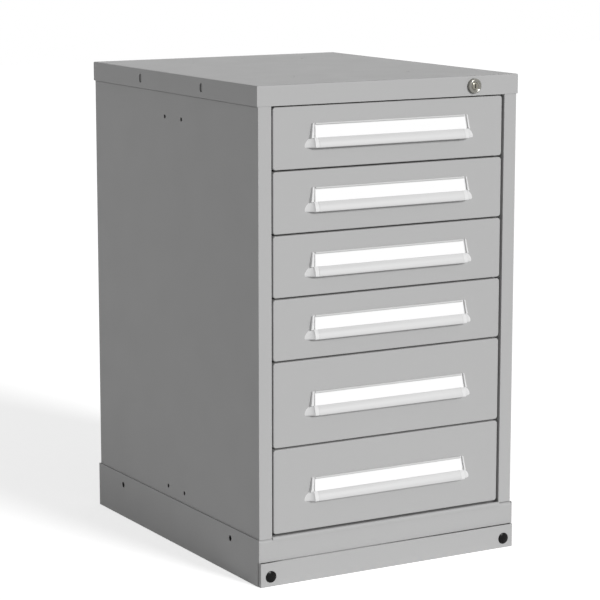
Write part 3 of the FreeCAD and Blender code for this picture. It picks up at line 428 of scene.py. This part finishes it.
def follow(stations, at):
    """A smooth value between stations of (place, value)."""
    places, values = zip(*stations)
    slopes = []
    for index in range(len(stations)):
        low, high = max(index - 1, 0), min(index + 1, len(stations) - 1)
        slopes.append((values[high] - values[low]) / (places[high] - places[low]))
    index = 0
    while index < len(stations) - 2 and at > places[index + 1]:
        index += 1
    span = places[index + 1] - places[index]
    t = min(max((at - places[index]) / span, 0.0), 1.0)
    return ((2 * t ** 3 - 3 * t ** 2 + 1) * values[index]
            + (t ** 3 - 2 * t ** 2 + t) * span * slopes[index]
            + (3 * t ** 2 - 2 * t ** 3) * values[index + 1]
            + (t ** 3 - t ** 2) * span * slopes[index + 1])


# -------- rivets

def rivet_tree():
    """Geometry Nodes: a stepped head on every point, standing along the point's facing."""
    tree = bpy.data.node_groups.new("riveted_heads", "GeometryNodeTree")
    face = tree.interface
    face.new_socket("Geometry", in_out="INPUT", socket_type="NodeSocketGeometry")
    for name in HEAD_SIZES:
        face.new_socket(name, in_out="INPUT", socket_type="NodeSocketFloat")
    face.new_socket("Finish", in_out="INPUT", socket_type="NodeSocketMaterial")
    face.new_socket("Geometry", in_out="OUTPUT", socket_type="NodeSocketGeometry")
    given = add(tree, "NodeGroupInput").outputs
    joined = add(tree, "GeometryNodeJoinGeometry")
    # (width, radius at foot and top as shares of it, height and level as shares of the head's)
    steps = (("Head diameter", 0.5, 0.42, 0.55, 0.0), ("Head diameter", 0.42, 0.24, 0.40, 0.55),
             ("Pin diameter", 0.5, 0.46, 1.0, 0.0))
    for width, foot, top, height, level in steps:
        cone = add(tree, "GeometryNodeMeshCone", {"Vertices": 20})
        feed(tree, given[width], foot, cone.inputs["Radius Bottom"])
        feed(tree, given[width], top, cone.inputs["Radius Top"])
        feed(tree, given["Head height"], height, cone.inputs["Depth"])
        lift = add(tree, "ShaderNodeCombineXYZ")
        feed(tree, given["Head height"], level, lift.inputs["Z"])
        moved = add(tree, "GeometryNodeTransform", {"Geometry": cone.outputs["Mesh"],
                                                    "Translation": lift.outputs["Vector"]})
        tree.links.new(moved.outputs["Geometry"], joined.inputs["Geometry"])
    facing = add(tree, "GeometryNodeInputNamedAttribute", {"Name": "facing"},
                 data_type="FLOAT_VECTOR")
    turn = add(tree, "FunctionNodeAlignRotationToVector",
               {"Vector": facing.outputs["Attribute"]}, axis="Z")
    placed = add(tree, "GeometryNodeInstanceOnPoints", {
        "Points": given["Geometry"], "Instance": joined.outputs["Geometry"],
        "Rotation": turn.outputs["Rotation"]})
    real = add(tree, "GeometryNodeRealizeInstances", {"Geometry": placed.outputs["Instances"]})
    coat = add(tree, "GeometryNodeSetMaterial", {"Geometry": real.outputs["Geometry"],
                                                 "Material": given["Finish"]})
    add(tree, "NodeGroupOutput", {"Geometry": coat.outputs["Geometry"]})
    return tree


def rivet_row(name, tree, places, sizes, made, body, slot):
    """One mesh of heads from (place, facing) pairs; sizes are head, height and pin."""
    mesh = bpy.data.meshes.new(f"{name}_points")
    mesh.from_pydata([place for place, _ in places], [], [])
    facing = mesh.attributes.new("facing", "FLOAT_VECTOR", "POINT")
    facing.data.foreach_set("vector", [value for _, away in places for value in away])
    points = put(f"{name}_points", mesh)
    nodes = points.modifiers.new("heads", "NODES")
    nodes.node_group = tree
    given = dict(zip(HEAD_SIZES, sizes), Finish=made)
    for socket in tree.interface.items_tree:
        if socket.in_out == "INPUT" and socket.name in given:
            nodes[socket.identifier] = given[socket.name]
    heads = modified(points)
    bpy.data.objects.remove(points)
    if len(heads.polygons) < len(places):
        raise RuntimeError(f"{name}: the rivet heads came out empty")
    heads.name = name
    settle(name, heads, made, body, slot, crease=20.0)


# -------- operators

class CABINET_OT_stage(bpy.types.Operator):
    """Builds the floor, the light and the camera"""
    bl_idname = "cabinet.stage"
    bl_label = "Stage"

    def execute(self, context):
        studio = context.scene.cabinet_studio
        self.make_camera(context.scene, studio)
        self.make_world(context.scene, studio)
        self.make_key(studio)
        self.make_floor(studio)
        context.scene.view_settings.view_transform = "Standard"
        return {"FINISHED"}

    def make_camera(self, scene, studio):
        flat = math.cos(studio.elevation)
        back = Vector((math.sin(studio.azimuth) * flat, -math.cos(studio.azimuth) * flat,
                       math.sin(studio.elevation)))
        data = bpy.data.cameras.new("camera")
        data.lens = studio.focal
        data.sensor_width = 36.0
        data.clip_end = 60.0
        camera = put("camera", data)
        camera.location = Vector(studio.aim) + back * studio.distance
        camera.rotation_euler = back.to_track_quat("Z", "Y").to_euler()
        scene.camera = camera

    def make_world(self, scene, studio):
        world = bpy.data.worlds.new("studio")
        world.use_nodes = True
        scene.world = world
        tree = world.node_tree
        light = tree.nodes["Background"]
        light.inputs["Strength"].default_value = studio.fill
        light.inputs["Color"].default_value = WHITE
        white = add(tree, "ShaderNodeBackground", {"Strength": 1.0, "Color": WHITE})
        mix = add(tree, "ShaderNodeMixShader", {"Fac": seen_directly(tree),
                                                1: light.outputs["Background"],
                                                2: white.outputs["Background"]})
        tree.links.new(mix.outputs["Shader"], tree.nodes["World Output"].inputs["Surface"])

    def make_key(self, studio):
        data = bpy.data.lights.new("key", "SUN")
        data.energy = studio.key
        data.angle = studio.key_width
        lamp = put("key", data)
        lamp.rotation_euler = Vector(studio.key_from).to_track_quat("Z", "Y").to_euler()

    def make_floor(self, studio):
        size = 12.0
        mesh = bpy.data.meshes.new("floor")
        mesh.from_pydata([(-size, -size, 0.0), (size, -size, 0.0), (size, size, 0.0),
                          (-size, size, 0.0)], [], [(0, 1, 2, 3)])
        floor = put("floor", mesh)
        made, tree, shader = material("pale_floor", {
            "Roughness": 0.9, "Specular IOR Level": 0.0, "Base Color": (*[studio.floor] * 3, 1.0)})
        glow = add(tree, "ShaderNodeEmission")
        # The white glow is cut off under the cabinet: a painted shadow where the base stands, seen
        # through its holes
        both = add(tree, "ShaderNodeMath", {0: seen_directly(tree), 1: painted_shade_under_cabinet(tree)},
                   operation="MULTIPLY")
        feed(tree, both.outputs["Value"], studio.glow, glow.inputs["Strength"])
        whole = add(tree, "ShaderNodeAddShader", {0: shader.outputs["BSDF"],
                                                  1: glow.outputs["Emission"]})
        tree.links.new(whole.outputs["Shader"], tree.nodes["Material Output"].inputs["Surface"])
        mesh.materials.append(made)


def most_of(tree, first, second):
    """The larger of two values."""
    return add(tree, "ShaderNodeMath", {0: first, 1: second}, operation="MAXIMUM").outputs["Value"]


def painted_shade_under_cabinet(tree):
    """Painted shade under the cabinet: 0 on the floor under the cabinet and 1 beside it, blended
    inside its edge; it takes the floor's white glow away there, so the floor under the base reads
    dark.
    """
    start, end = 16.0 * MM, 4.0 * MM
    coords = add(tree, "ShaderNodeTexCoord")
    parts = add(tree, "ShaderNodeSeparateXYZ", {"Vector": coords.outputs["Object"]})
    beside = []
    for edge, axis in zip(CAD_BOX[1], "XY"):
        off = add(tree, "ShaderNodeMath", {0: parts.outputs[axis]}, operation="ABSOLUTE")
        beside.append(spread(tree, off.outputs["Value"], 0.0, 1.0, edge - start, edge - end))
    return most_of(tree, *beside)


def seen_directly(tree):
    """1 for camera, glossy and transmission rays, and 0 for the rest."""
    path = add(tree, "ShaderNodeLightPath").outputs
    return most_of(tree, most_of(tree, path["Is Camera Ray"], path["Is Glossy Ray"]),
                   path["Is Transmission Ray"])


class CABINET_OT_housing(bpy.types.Operator):
    """Dresses the cap, the sides, the back, the floor pan and the base in enamel"""
    bl_idname = "cabinet.housing"
    bl_label = "Housing"

    def execute(self, context):
        sheet = context.scene.cabinet_sheet_metal
        enamel = enamel_material("grey_enamel", context.scene.cabinet_finish.enamel)
        for node in ("top_cap", "left_side", "right_side", "back_panel", "floor_pan", "base_left",
                     "base_right", "base_front_rail", "base_back", "base_front_cover"):
            tool = self.cap_joint(node, sheet) if node.endswith("_side") else None
            piece = eased_copy(node, enamel, "housing", "housing_enamel", tool)
            if node == "right_side":
                self.open_joint(piece, sheet.joint)
        self.make_rail_lip(sheet, enamel)
        self.make_cover_hem(sheet, enamel)
        return {"FINISHED"}

    def cap_joint(self, node, sheet):
        """What is cut from a side, which leaves the open joint under the cap."""
        short, over, outside = 6.0 * MM, 0.3 * MM, 1.0 * MM
        low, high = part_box(node)
        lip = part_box("top_cap")[0].z
        side = 1 if node == "right_side" else -1
        face = high.x if side > 0 else low.x
        left, right = sorted((face - side * sheet.cap_joint_depth, face + side * outside))
        tool = bmesh.new()
        block(tool, (left, low.y + short, lip - sheet.cap_joint),
              (right, high.y - short, lip + over))
        return tool

    def open_joint(self, piece, joint):
        """Lifts the panel's lower edge off the base, which leaves a dark line."""
        foot = min(corner.co.z for corner in piece.data.vertices)
        for corner in piece.data.vertices:
            if corner.co.z < foot + joint:
                corner.co.z += joint

    def make_rail_lip(self, sheet, enamel):
        """The rail's rolled crest in the opening under the lowest drawer."""
        low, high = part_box("base_front_rail")
        drawer_low, drawer_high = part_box("drawer_front_6")
        beside, below, thick, drop = 4.15 * MM, 1.55, 1.2, 0.2 * MM
        roll = sheet.rail_lip
        top = drawer_low.z - sheet.gap
        half = drawer_high.x + beside
        foot = high.z - roll * below
        section = [(low.y, foot), (low.y, top - roll)]
        section += arc((low.y, top - roll), (low.y + roll, top), -roll, 8)
        section += [(low.y + roll, top), (low.y + roll * thick, top - drop),
                    (low.y + roll * thick, foot)]
        form = bmesh.new()
        sweep(form, section, half)
        finish_piece("base_rail_crest", form, enamel, "housing", "housing_enamel")

    def make_cover_hem(self, sheet, enamel):
        """The cover's folded top edge, which meets the rail left of the middle, not at its ends."""
        short, inset, tall, clear = 2.0 * MM, 0.4 * MM, 1.2 * MM, 0.1 * MM
        left_end, left_gap = 0.1, 2.4 * MM  # share of the width that springs off, and how far
        right_start, right_gap, bow = 0.4, 2.2 * MM, 0.7
        rise, fades = 0.45 * MM, 1.2 * MM  # lift of the hem where it meets the rail
        low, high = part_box("base_front_cover")
        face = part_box("base_front_rail")[0].y
        half = high.x - short
        front, foot = low.y + inset, high.z - tall
        form = bmesh.new()
        rings, count = [], 40
        for step in range(count + 1):
            share = step / count
            off = max(0.0, 1.0 - share / left_end) * left_gap
            off += max(0.0, (share - right_start) / (1.0 - right_start)) ** bow * right_gap
            x = -half + 2 * half * share
            back = face - clear - off
            top = high.z + rise * (1.0 - min(1.0, off / fades))
            rings.append(ring(form, [(x, front, foot), (x, front, top), (x, back, top),
                                     (x, back, foot)]))
        skin(form, rings)
        finish_piece("base_cover_hem", form, enamel, "housing", "housing_enamel")


class CABINET_OT_drawers(bpy.types.Operator):
    """Builds the rolled drawer fronts, the hemmed trays and the lane dividers"""
    bl_idname = "cabinet.drawers"
    bl_label = "Drawers"

    def execute(self, context):
        sheet = context.scene.cabinet_sheet_metal
        enamel = enamel_material("drawer_enamel", context.scene.cabinet_finish.enamel)
        for number in DRAWERS:
            self.make_front(number, sheet, enamel)
            self.make_tray(number, sheet, enamel)
            eased_copy(f"slide_dividers_{number}", enamel, f"drawer_{number}", "drawer_enamel")
        return {"FINISHED"}

    def make_front(self, number, sheet, enamel):
        node = f"drawer_front_{number}"
        form = solid_form(node)
        self.keep_catch(form)
        low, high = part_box(node)
        eased, thick = sheet.eased, sheet.sheet
        back = low.y + sheet.fold
        # (inset from the edge, depth) from the rolled face round to the inside
        outline = [(inset, low.y + depth) for inset, depth in rounding(sheet.rolled)]
        outline += [(0.0, back - eased), (eased, back), (sheet.lip, back),
                    (sheet.lip, back - thick), (thick, back - thick), (thick, low.y + thick)]
        skin(form, [self.round_loop(form, low, high, inset, depth, sheet.corner)
                    for inset, depth in outline])
        finish_piece(f"{node}_rolled", form, enamel, f"drawer_{number}", "drawer_enamel", node)

    def keep_catch(self, form):
        """Leaves only the lock's catch of the drawer front's solids."""
        loose = set(form.verts)
        groups = []
        while loose:
            group, edge = set(), {loose.pop()}
            while edge:
                group |= edge
                edge = {link.other_vert(corner) for corner in edge
                        for link in corner.link_edges} - group
            loose -= group
            groups.append(group)
        groups.sort(key=lambda group: max(v.co.x for v in group) - min(v.co.x for v in group))
        if len(groups) < 2:
            raise RuntimeError("the drawer front has no catch of its own")
        for group in groups[1:]:
            bmesh.ops.delete(form, geom=list(group), context="VERTS")

    def round_loop(self, form, low, high, inset, depth, corner):
        """A ring with round corners, an inset within a box."""
        least = 0.6 * MM
        radius = max(corner - inset, least)
        left, right = low.x + inset + radius, high.x - inset - radius
        foot, head = low.z + inset + radius, high.z - inset - radius
        points = []
        for x, z, start in ((right, head, 0), (left, head, 90), (left, foot, 180),
                            (right, foot, 270)):
            for turn in QUARTER:
                angle = math.radians(start) + turn
                points.append((x + radius * math.cos(angle), depth, z + radius * math.sin(angle)))
        return ring(form, points)

    def make_tray(self, number, sheet, enamel):
        node = f"drawer_tray_{number}"
        form = solid_form(node)
        ease_edges(form, sheet.eased)
        low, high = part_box(node)
        half = high.x - sheet.channel - sheet.tray_sheet
        front, back = low.y + sheet.tray_sheet, high.y - sheet.tray_sheet
        thick = sheet.hem_sheet
        top, foot = high.z, high.z - sheet.hem
        section = ((0.0, foot), (thick * 0.6, foot), (thick, foot + thick / 2),
                   (thick, top - thick / 2), (thick / 2, top), (0.0, top))
        rings = [ring(form, [(side * (half - inset), y, level) for side, y in (
            (-1, front + inset), (1, front + inset), (1, back - inset), (-1, back - inset))])
                 for inset, level in section]
        skin(form, rings, endless=True)
        finish_piece(f"{node}_hemmed", form, enamel, f"drawer_{number}", "drawer_enamel", node)


class CABINET_OT_handles(bpy.types.Operator):
    """Builds the handle extrusions, their flared ends and the label cards"""
    bl_idname = "cabinet.handles"
    bl_label = "Handles"

    def execute(self, context):
        colours = context.scene.cabinet_finish
        sizes = context.scene.cabinet_handle
        alloy = alloy_material("satin_aluminium", colours.alloy)
        plastic = plastic_material("handle_end_plastic", colours.plastic, 0.45, 500.0, 0.3)
        card = card_material("label_card", colours.card)
        for number in DRAWERS:
            self.make_profile(number, sizes, alloy)
            self.make_ends(number, sizes, plastic)
            piece = eased_copy(f"label_card_{number}", card, f"drawer_{number}", "label_card")
            self.reach_grooves(piece, sizes)
        return {"FINISHED"}

    def reach_grooves(self, piece, sizes):
        """Widens a card into the ends' grooves, more so at its foot."""
        levels = [corner.co.z for corner in piece.data.vertices]
        foot, top = min(levels), max(levels)
        for corner in piece.data.vertices:
            share = (top - corner.co.z) / (top - foot)
            corner.co.x += math.copysign(sizes.land_top + sizes.land_more * share, corner.co.x)

    def make_profile(self, number, sizes, alloy):
        """The label's channel over the whole width, and the grip between the ends' laps."""
        node = f"handle_{number}"
        low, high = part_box(node)
        foot, top, root = low.z, high.z, high.y
        depth, eased = high.y - low.y, 0.2 * MM
        window = top - sizes.rim_height
        sill = window - sizes.label
        nose, rim, edge = sizes.nose, sizes.rim_depth, sizes.rim_round
        shelf = (sizes.grip - sizes.recess, sill)
        channel = [(0.0, top), (rim - edge, top)]
        channel += arc((rim - edge, top), (rim, top - edge), -edge, 4)
        channel += [(rim, top - edge), (rim, window), (rim - sizes.recess, window), shelf,
                    (0.0, sill)]
        grip = [(0.0, sill), shelf, (sizes.grip, sill)]
        grip += arc((sizes.grip, sill), (depth, foot + nose), -sizes.swell, 14)
        grip += [(depth, foot + nose)]
        grip += arc((depth, foot + nose), (depth - nose, foot), -nose, 6)
        grip += [(depth - nose, foot), (depth - sizes.wall, foot)]
        inner = (sizes.grip - sizes.wall, sill - sizes.wall)
        grip += arc((depth - sizes.wall, foot), inner, sizes.swell, 10)
        grip += [inner, (0.0, sill - sizes.wall)]
        form = bmesh.new()
        for section, half in ((channel, high.x), (grip, high.x - sizes.overlap)):
            sweep(form, [(root - off, level) for off, level in section], half)
        ease_edges(form, eased, 50.0)
        finish_piece(f"{node}_extrusion", form, alloy, f"drawer_{number}", "handle_aluminium",
                     node, crease=28.0)

    def make_ends(self, number, sizes, plastic):
        node = f"handle_ends_{number}"
        low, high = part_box(node)
        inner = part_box(f"handle_{number}")[1].x
        form = bmesh.new()
        for side in (-1, 1):
            rings = [ring(form, [(side * x, high.y - off, level) for x, off in plan])
                     for level, plan in self.end_plans(low.z, high.z, high.y - low.y, inner, sizes)]
            skin(form, rings)
        finish_piece(f"{node}_moulded", form, plastic, f"drawer_{number}", "handle_end_plastic",
                     node, crease=38.0)

    def end_plans(self, foot, top, depth, inner, sizes):
        """Levels of a handle's end with its plan at each: beside the label, then over the grip."""
        rib_top, rib_more = 3.6 * MM, 3.3 * MM  # how far the rib lies out, and more below
        slack, least, hair, ledge = 0.2 * MM, 0.4 * MM, 0.05 * MM, 0.1 * MM  # clearances
        tall = top - foot
        narrow = inner + sizes.end_top
        spare = sizes.end_flare - sizes.end_top
        sill = sizes.rim_height + sizes.label
        lip = tall - sill
        # (distance under the top, share of the flare)
        flare = [(0.0, 0.0), (sill * 0.5, 0.13), (sill, 0.31), (sill + lip * 0.15, 0.48),
                 (sill + lip * 0.35, 0.74), (sill + lip * 0.6, 0.94), (sill + lip * 0.8, 1.0),
                 (tall, 1.0)]
        # (distance under the top, stand-off)
        stand = [(0.0, sizes.rim_depth), (sill, sizes.grip)]
        full = arc((sizes.grip, -sill), (depth, sizes.nose - tall), -sizes.swell, 10)
        stand += [(-point[1], point[0]) for point in full]
        stand += [(tall - sizes.nose, depth), (tall, depth)]
        # (distance under the top, inset of the rounding there)
        crown, nose = sizes.end_round, sizes.end_nose
        levels = rounding(crown)[::-1]
        levels += [(crown + (sill - crown) * step / 12, 0.0) for step in range(1, 12)]
        levels += [(sill - hair, 0.0), (sill + hair, 0.0)]
        levels += [(sill + (lip - nose) * step / 10, 0.0) for step in range(1, 10)]
        levels += [(tall - over, inset) for over, inset in rounding(nose)]
        plans = []
        for down, inset in levels:
            wide = narrow + spare * min(1.0, max(0.0, follow(flare, down))) - inset
            off = self.straight(stand, down) - inset
            if down < sill:
                share = down / sill
                front, back = wide - slack, inner
                rib = inner + rib_top + rib_more * share
                land = inner + sizes.land_top + sizes.land_more * share
                deep = max(off - sizes.groove_depth, least)
                card = max(off - sizes.recess, deep + ledge)
                last = [(rib, off), (rib, deep), (land, deep), (land, card), (inner, card)]
            else:
                front, back = inner + sizes.band - inset * 0.4, inner - sizes.overlap
                last = [(back + sizes.seam, off), (back, off - sizes.seam)]
                last += [(back, off * share) for share in (0.7, 0.5, 0.3)]
            plan = [(back, 0.0), (wide, 0.0), *self.corner(wide, front, off, sizes), *last]
            plans.append((top - down, plan))
        return plans

    def straight(self, stations, at):
        for (first, low), (second, high) in zip(stations, stations[1:]):
            if at <= second:
                return low + (high - low) * (at - first) / (second - first)
        return stations[-1][1]

    def corner(self, wide, front, off, sizes):
        """An end's flank, hollow towards its root, and the rounded corner to its front."""
        most, hollow, waist_off, steps = 0.4, 0.28, 0.38, 6
        size = min(sizes.end_round, off * most)
        corner, root = Vector((front, off)), Vector((wide, 0.0))
        start, end = Vector((front, off - size)), Vector((front - size, off))
        waist = Vector((front + (wide - front) * hollow, off * waist_off))
        return bowed(root, waist, start, steps)[1:-1] + bowed(start, corner, end, steps)


def bowed(start, pull, end, steps):
    """Points along a curve between two ends, pulled towards a corner."""
    shares = [step / steps for step in range(steps + 1)]
    return [start * (1 - t) ** 2 + pull * 2 * t * (1 - t) + end * t ** 2 for t in shares]


class CABINET_OT_fittings(bpy.types.Operator):
    """Builds the plugs and the lock, and finishes the hidden hardware"""
    bl_idname = "cabinet.fittings"
    bl_label = "Fittings"

    def execute(self, context):
        colours = context.scene.cabinet_finish
        zinc = plate_material("zinc_plate", colours.zinc, 0.35, 0.9, 90.0)
        self.make_plugs(plastic_material("black_plug", colours.black, 0.2, 300.0, 0.12))
        self.make_lock(plate_material("lock_nickel", colours.nickel, 0.16, 1.0, 160.0),
                       plate_material("lock_brass", colours.brass, 0.22, 1.0, 200.0))
        for node in ("front_uprights", "rear_uprights", "runner_channels_left",
                     "runner_channels_right"):
            eased_copy(node, zinc, "housing", "zinc_steel")
        eased_copy("lock_bar", zinc, "locking_bar", "zinc_steel")
        for number in DRAWERS:
            eased_copy(f"carriage_{number}", zinc, f"carriage_{number}", "zinc_steel")
        return {"FINISHED"}

    def make_plugs(self, black):
        low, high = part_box("cover_plugs")
        form = bmesh.new()
        head = (high.z - low.z) / 2
        proud, dome, shank, chamfer, bore = 3.2 * MM, 2.1 * MM, 6.0 * MM, 0.6 * MM, 0.4 * MM
        profile = [(head * share, low.y + dome * share ** 2) for share in (
            0.02, 0.15, 0.3, 0.45, 0.6, 0.72, 0.83, 0.92)]
        profile += [(head * 0.975, low.y + 2.15 * MM), (head, low.y + 2.6 * MM)]
        profile += [(head, low.y + proud), (shank, low.y + proud), (shank, high.y - chamfer),
                    (shank - chamfer, high.y), (bore, high.y)]
        for side in (-1, 1):
            middle = Vector((side * (high.x - head), 0.0, (low.z + high.z) / 2))
            skin(form, turned(form, middle, profile))
        finish_piece("cover_plugs_domed", form, black, "housing", "black_plastic", "cover_plugs",
                     crease=40.0)

    def make_lock(self, nickel, brass):
        low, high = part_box("lock_cylinder")
        middle = Vector(((low.x + high.x) / 2, 0.0, (low.z + high.z) / 2))
        # (radius, depth behind the bezel's front) of the turned bezel, from its bore outwards
        corners = [(7.05, 2.0), (7.3, 1.7), (8.0, 1.15), (8.8, 0.7), (9.5, 0.45), (9.75, 0.75),
                   (10.1, 0.75), (10.35, 0.3), (11.0, 0.0), (11.7, 0.02), (12.5, 0.3), (13.2, 0.85),
                   (13.8, 1.7), (14.15, 2.7), (14.3, 3.8), (14.3, 7.4), (9.5, 7.4), (9.5, 23.4),
                   (7.05, 23.4)]
        form = bmesh.new()
        skin(form, turned(form, middle, [(radius * MM, low.y + back * MM)
                                         for radius, back in corners]), endless=True)
        finish_piece("lock_cylinder_bezel", form, nickel, "housing", "lock_chrome", "lock_cylinder",
                     crease=30.0)
        self.make_key_plug(middle, low.y, brass)

    def make_key_plug(self, middle, front, brass):
        """The key plug with a crowned face and its keyway, and the cam and crank pin behind it."""
        # (radius, depth behind the bezel's front) of the plug, from its face to its end
        crown = [(0.3, 0.75), (1.6, 0.78), (2.8, 0.86), (4.0, 1.0), (5.0, 1.18), (5.2, 1.02),
                 (5.6, 1.0), (6.2, 1.12), (6.6, 1.3), (7.0, 1.8), (7.0, 23.8), (0.3, 23.8)]
        wide, tall, before, deep = 1.0 * MM, 4.5 * MM, 1.0 * MM, 8.6 * MM  # keyway
        reach, cam, cam_front, cam_back = 9.0 * MM, 6.0 * MM, 23.7 * MM, 26.7 * MM
        pin, pin_front, pin_round = 2.5 * MM, 26.0 * MM, 0.5 * MM  # crank pin
        blank = bmesh.new()
        skin(blank, turned(blank, middle, [(radius * MM, front + back * MM)
                                           for radius, back in crown]))
        keyway = bmesh.new()
        block(keyway, (middle.x - wide, front - before, middle.z - tall),
              (middle.x + wide, front + deep, middle.z + tall))
        form = cut_away(blank, keyway)
        crank = middle + Vector((reach, 0.0, 0.0))
        around = [(centre, math.radians(start + 7.5 * step))
                  for centre, start in ((middle, 90), (crank, -90)) for step in range(25)]
        skin(form, [ring(form, [(centre.x + cam * math.cos(turn), y,
                                 centre.z + cam * math.sin(turn)) for centre, turn in around])
                    for y in (front + cam_front, front + cam_back)])
        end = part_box("lock_plug")[1].y
        skin(form, turned(form, crank, [(pin, front + pin_front), (pin, end - pin_round),
                                        (pin - pin_round, end)], 32))
        finish_piece("lock_plug_turned", form, brass, "key_plug", "lock_brass", "lock_plug",
                     crease=30.0)


class CABINET_OT_rivets(bpy.types.Operator):
    """Sets the blind rivets, the spot welds and the axle heads"""
    bl_idname = "cabinet.rivets"
    bl_label = "Rivets"

    def execute(self, context):
        sizes = context.scene.cabinet_rivets
        finishes = bpy.data.materials
        tree = rivet_tree()
        self.back_rivets(tree, sizes, finishes["grey_enamel"])
        for number in DRAWERS:
            self.tray_welds(number, tree, sizes, context.scene.cabinet_sheet_metal,
                            finishes["drawer_enamel"])
            self.axle_heads(number, tree, sizes, finishes["zinc_plate"])
        return {"FINISHED"}

    def back_rivets(self, tree, sizes, enamel):
        low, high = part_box("back_panel")
        inset, pin = 9.0 * MM, sizes.blind * 0.35
        left, right, foot, head = low.x + inset, high.x - inset, low.z + inset, high.z - inset
        columns = max(2, math.ceil((right - left) / sizes.spacing))
        rows = max(2, math.ceil((head - foot) / sizes.spacing))
        places = []
        for step in range(columns + 1):
            x = left + (right - left) * step / columns
            places += [(x, high.y, foot), (x, high.y, head)]
        for step in range(1, rows):
            z = foot + (head - foot) * step / rows
            places += [(left, high.y, z), (right, high.y, z)]
        rivet_row("back_panel_rivets", tree, [(place, (0.0, 1.0, 0.0)) for place in places],
                  (sizes.blind, sizes.blind_height, pin), enamel, "housing", "housing_enamel")

    def tray_welds(self, number, tree, sizes, sheet, enamel):
        low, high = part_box(f"drawer_tray_{number}")
        over, inset, count, pin = 28.0 * MM, 30.0 * MM, 9, sizes.weld * 0.3
        inner = high.x - sheet.channel - sheet.tray_sheet
        places = []
        for step in range(count + 1):
            y = low.y + inset + (high.y - low.y - 2 * inset) * step / count
            places += [((side * inner, y, low.z + over), (-side, 0.0, 0.0)) for side in (-1, 1)]
        rivet_row(f"tray_welds_{number}", tree, places, (sizes.weld, sizes.weld_height, pin),
                  enamel, f"drawer_{number}", "drawer_enamel")

    def axle_heads(self, number, tree, sizes, zinc):
        """Heads on the free faces of the rollers, placed within the carriage's box."""
        low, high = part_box(f"carriage_{number}")
        inset, beside, pin = 20.0 * MM, 28.0 * MM, sizes.axle * 0.4
        width, bar = 8.5 * MM, 1.4 * MM
        level, middle = (low.z + high.z) / 2, (low.y + high.y) / 2
        inner = high.x - width - bar - width
        places = []
        for side in (-1, 1):
            places += [((side * inner, y, level), (-side, 0.0, 0.0))
                       for y in (low.y + inset, middle - beside)]
            places += [((side * high.x, y, level), (side, 0.0, 0.0))
                       for y in (middle + beside, high.y - inset)]
        rivet_row(f"axle_heads_{number}", tree, places, (sizes.axle, sizes.axle_height, pin),
                  zinc, f"carriage_{number}", "zinc_steel")


class CABINET_PT_panel(bpy.types.Panel):
    """The dressing steps of the cabinet"""
    bl_label = "Slide cabinet"
    bl_idname = "CABINET_PT_panel"
    bl_space_type = "VIEW_3D"
    bl_region_type = "UI"
    bl_category = "Cabinet"

    def draw(self, context):
        for step in STEPS:
            self.layout.operator(step.bl_idname)
        for name, _ in GROUPS:
            group = getattr(context.scene, name)
            for key in group.bl_rna.properties.keys():
                if key not in ("rna_type", "name"):
                    self.layout.prop(group, key)


STEPS = (CABINET_OT_stage, CABINET_OT_housing, CABINET_OT_drawers, CABINET_OT_handles,
         CABINET_OT_fittings, CABINET_OT_rivets)
GROUPS = (("cabinet_finish", CabinetFinish), ("cabinet_sheet_metal", CabinetSheetMetal),
          ("cabinet_handle", CabinetHandle), ("cabinet_rivets", CabinetRivets),
          ("cabinet_studio", CabinetStudio))
CLASSES = (*[group for _, group in GROUPS], *STEPS, CABINET_PT_panel)


def register():
    for each in CLASSES:
        bpy.utils.register_class(each)
    for name, group in GROUPS:
        setattr(bpy.types.Scene, name, bpy.props.PointerProperty(type=group))


def unregister():
    for name, _ in GROUPS:
        delattr(bpy.types.Scene, name)
    for each in reversed(CLASSES):
        bpy.utils.unregister_class(each)


def main():
    register()
    bpy.ops.cabinet.stage()
    bpy.ops.cabinet.housing()
    bpy.ops.cabinet.drawers()
    bpy.ops.cabinet.handles()
    bpy.ops.cabinet.fittings()
    bpy.ops.cabinet.rivets()


if __name__ == "__main__":
    main()
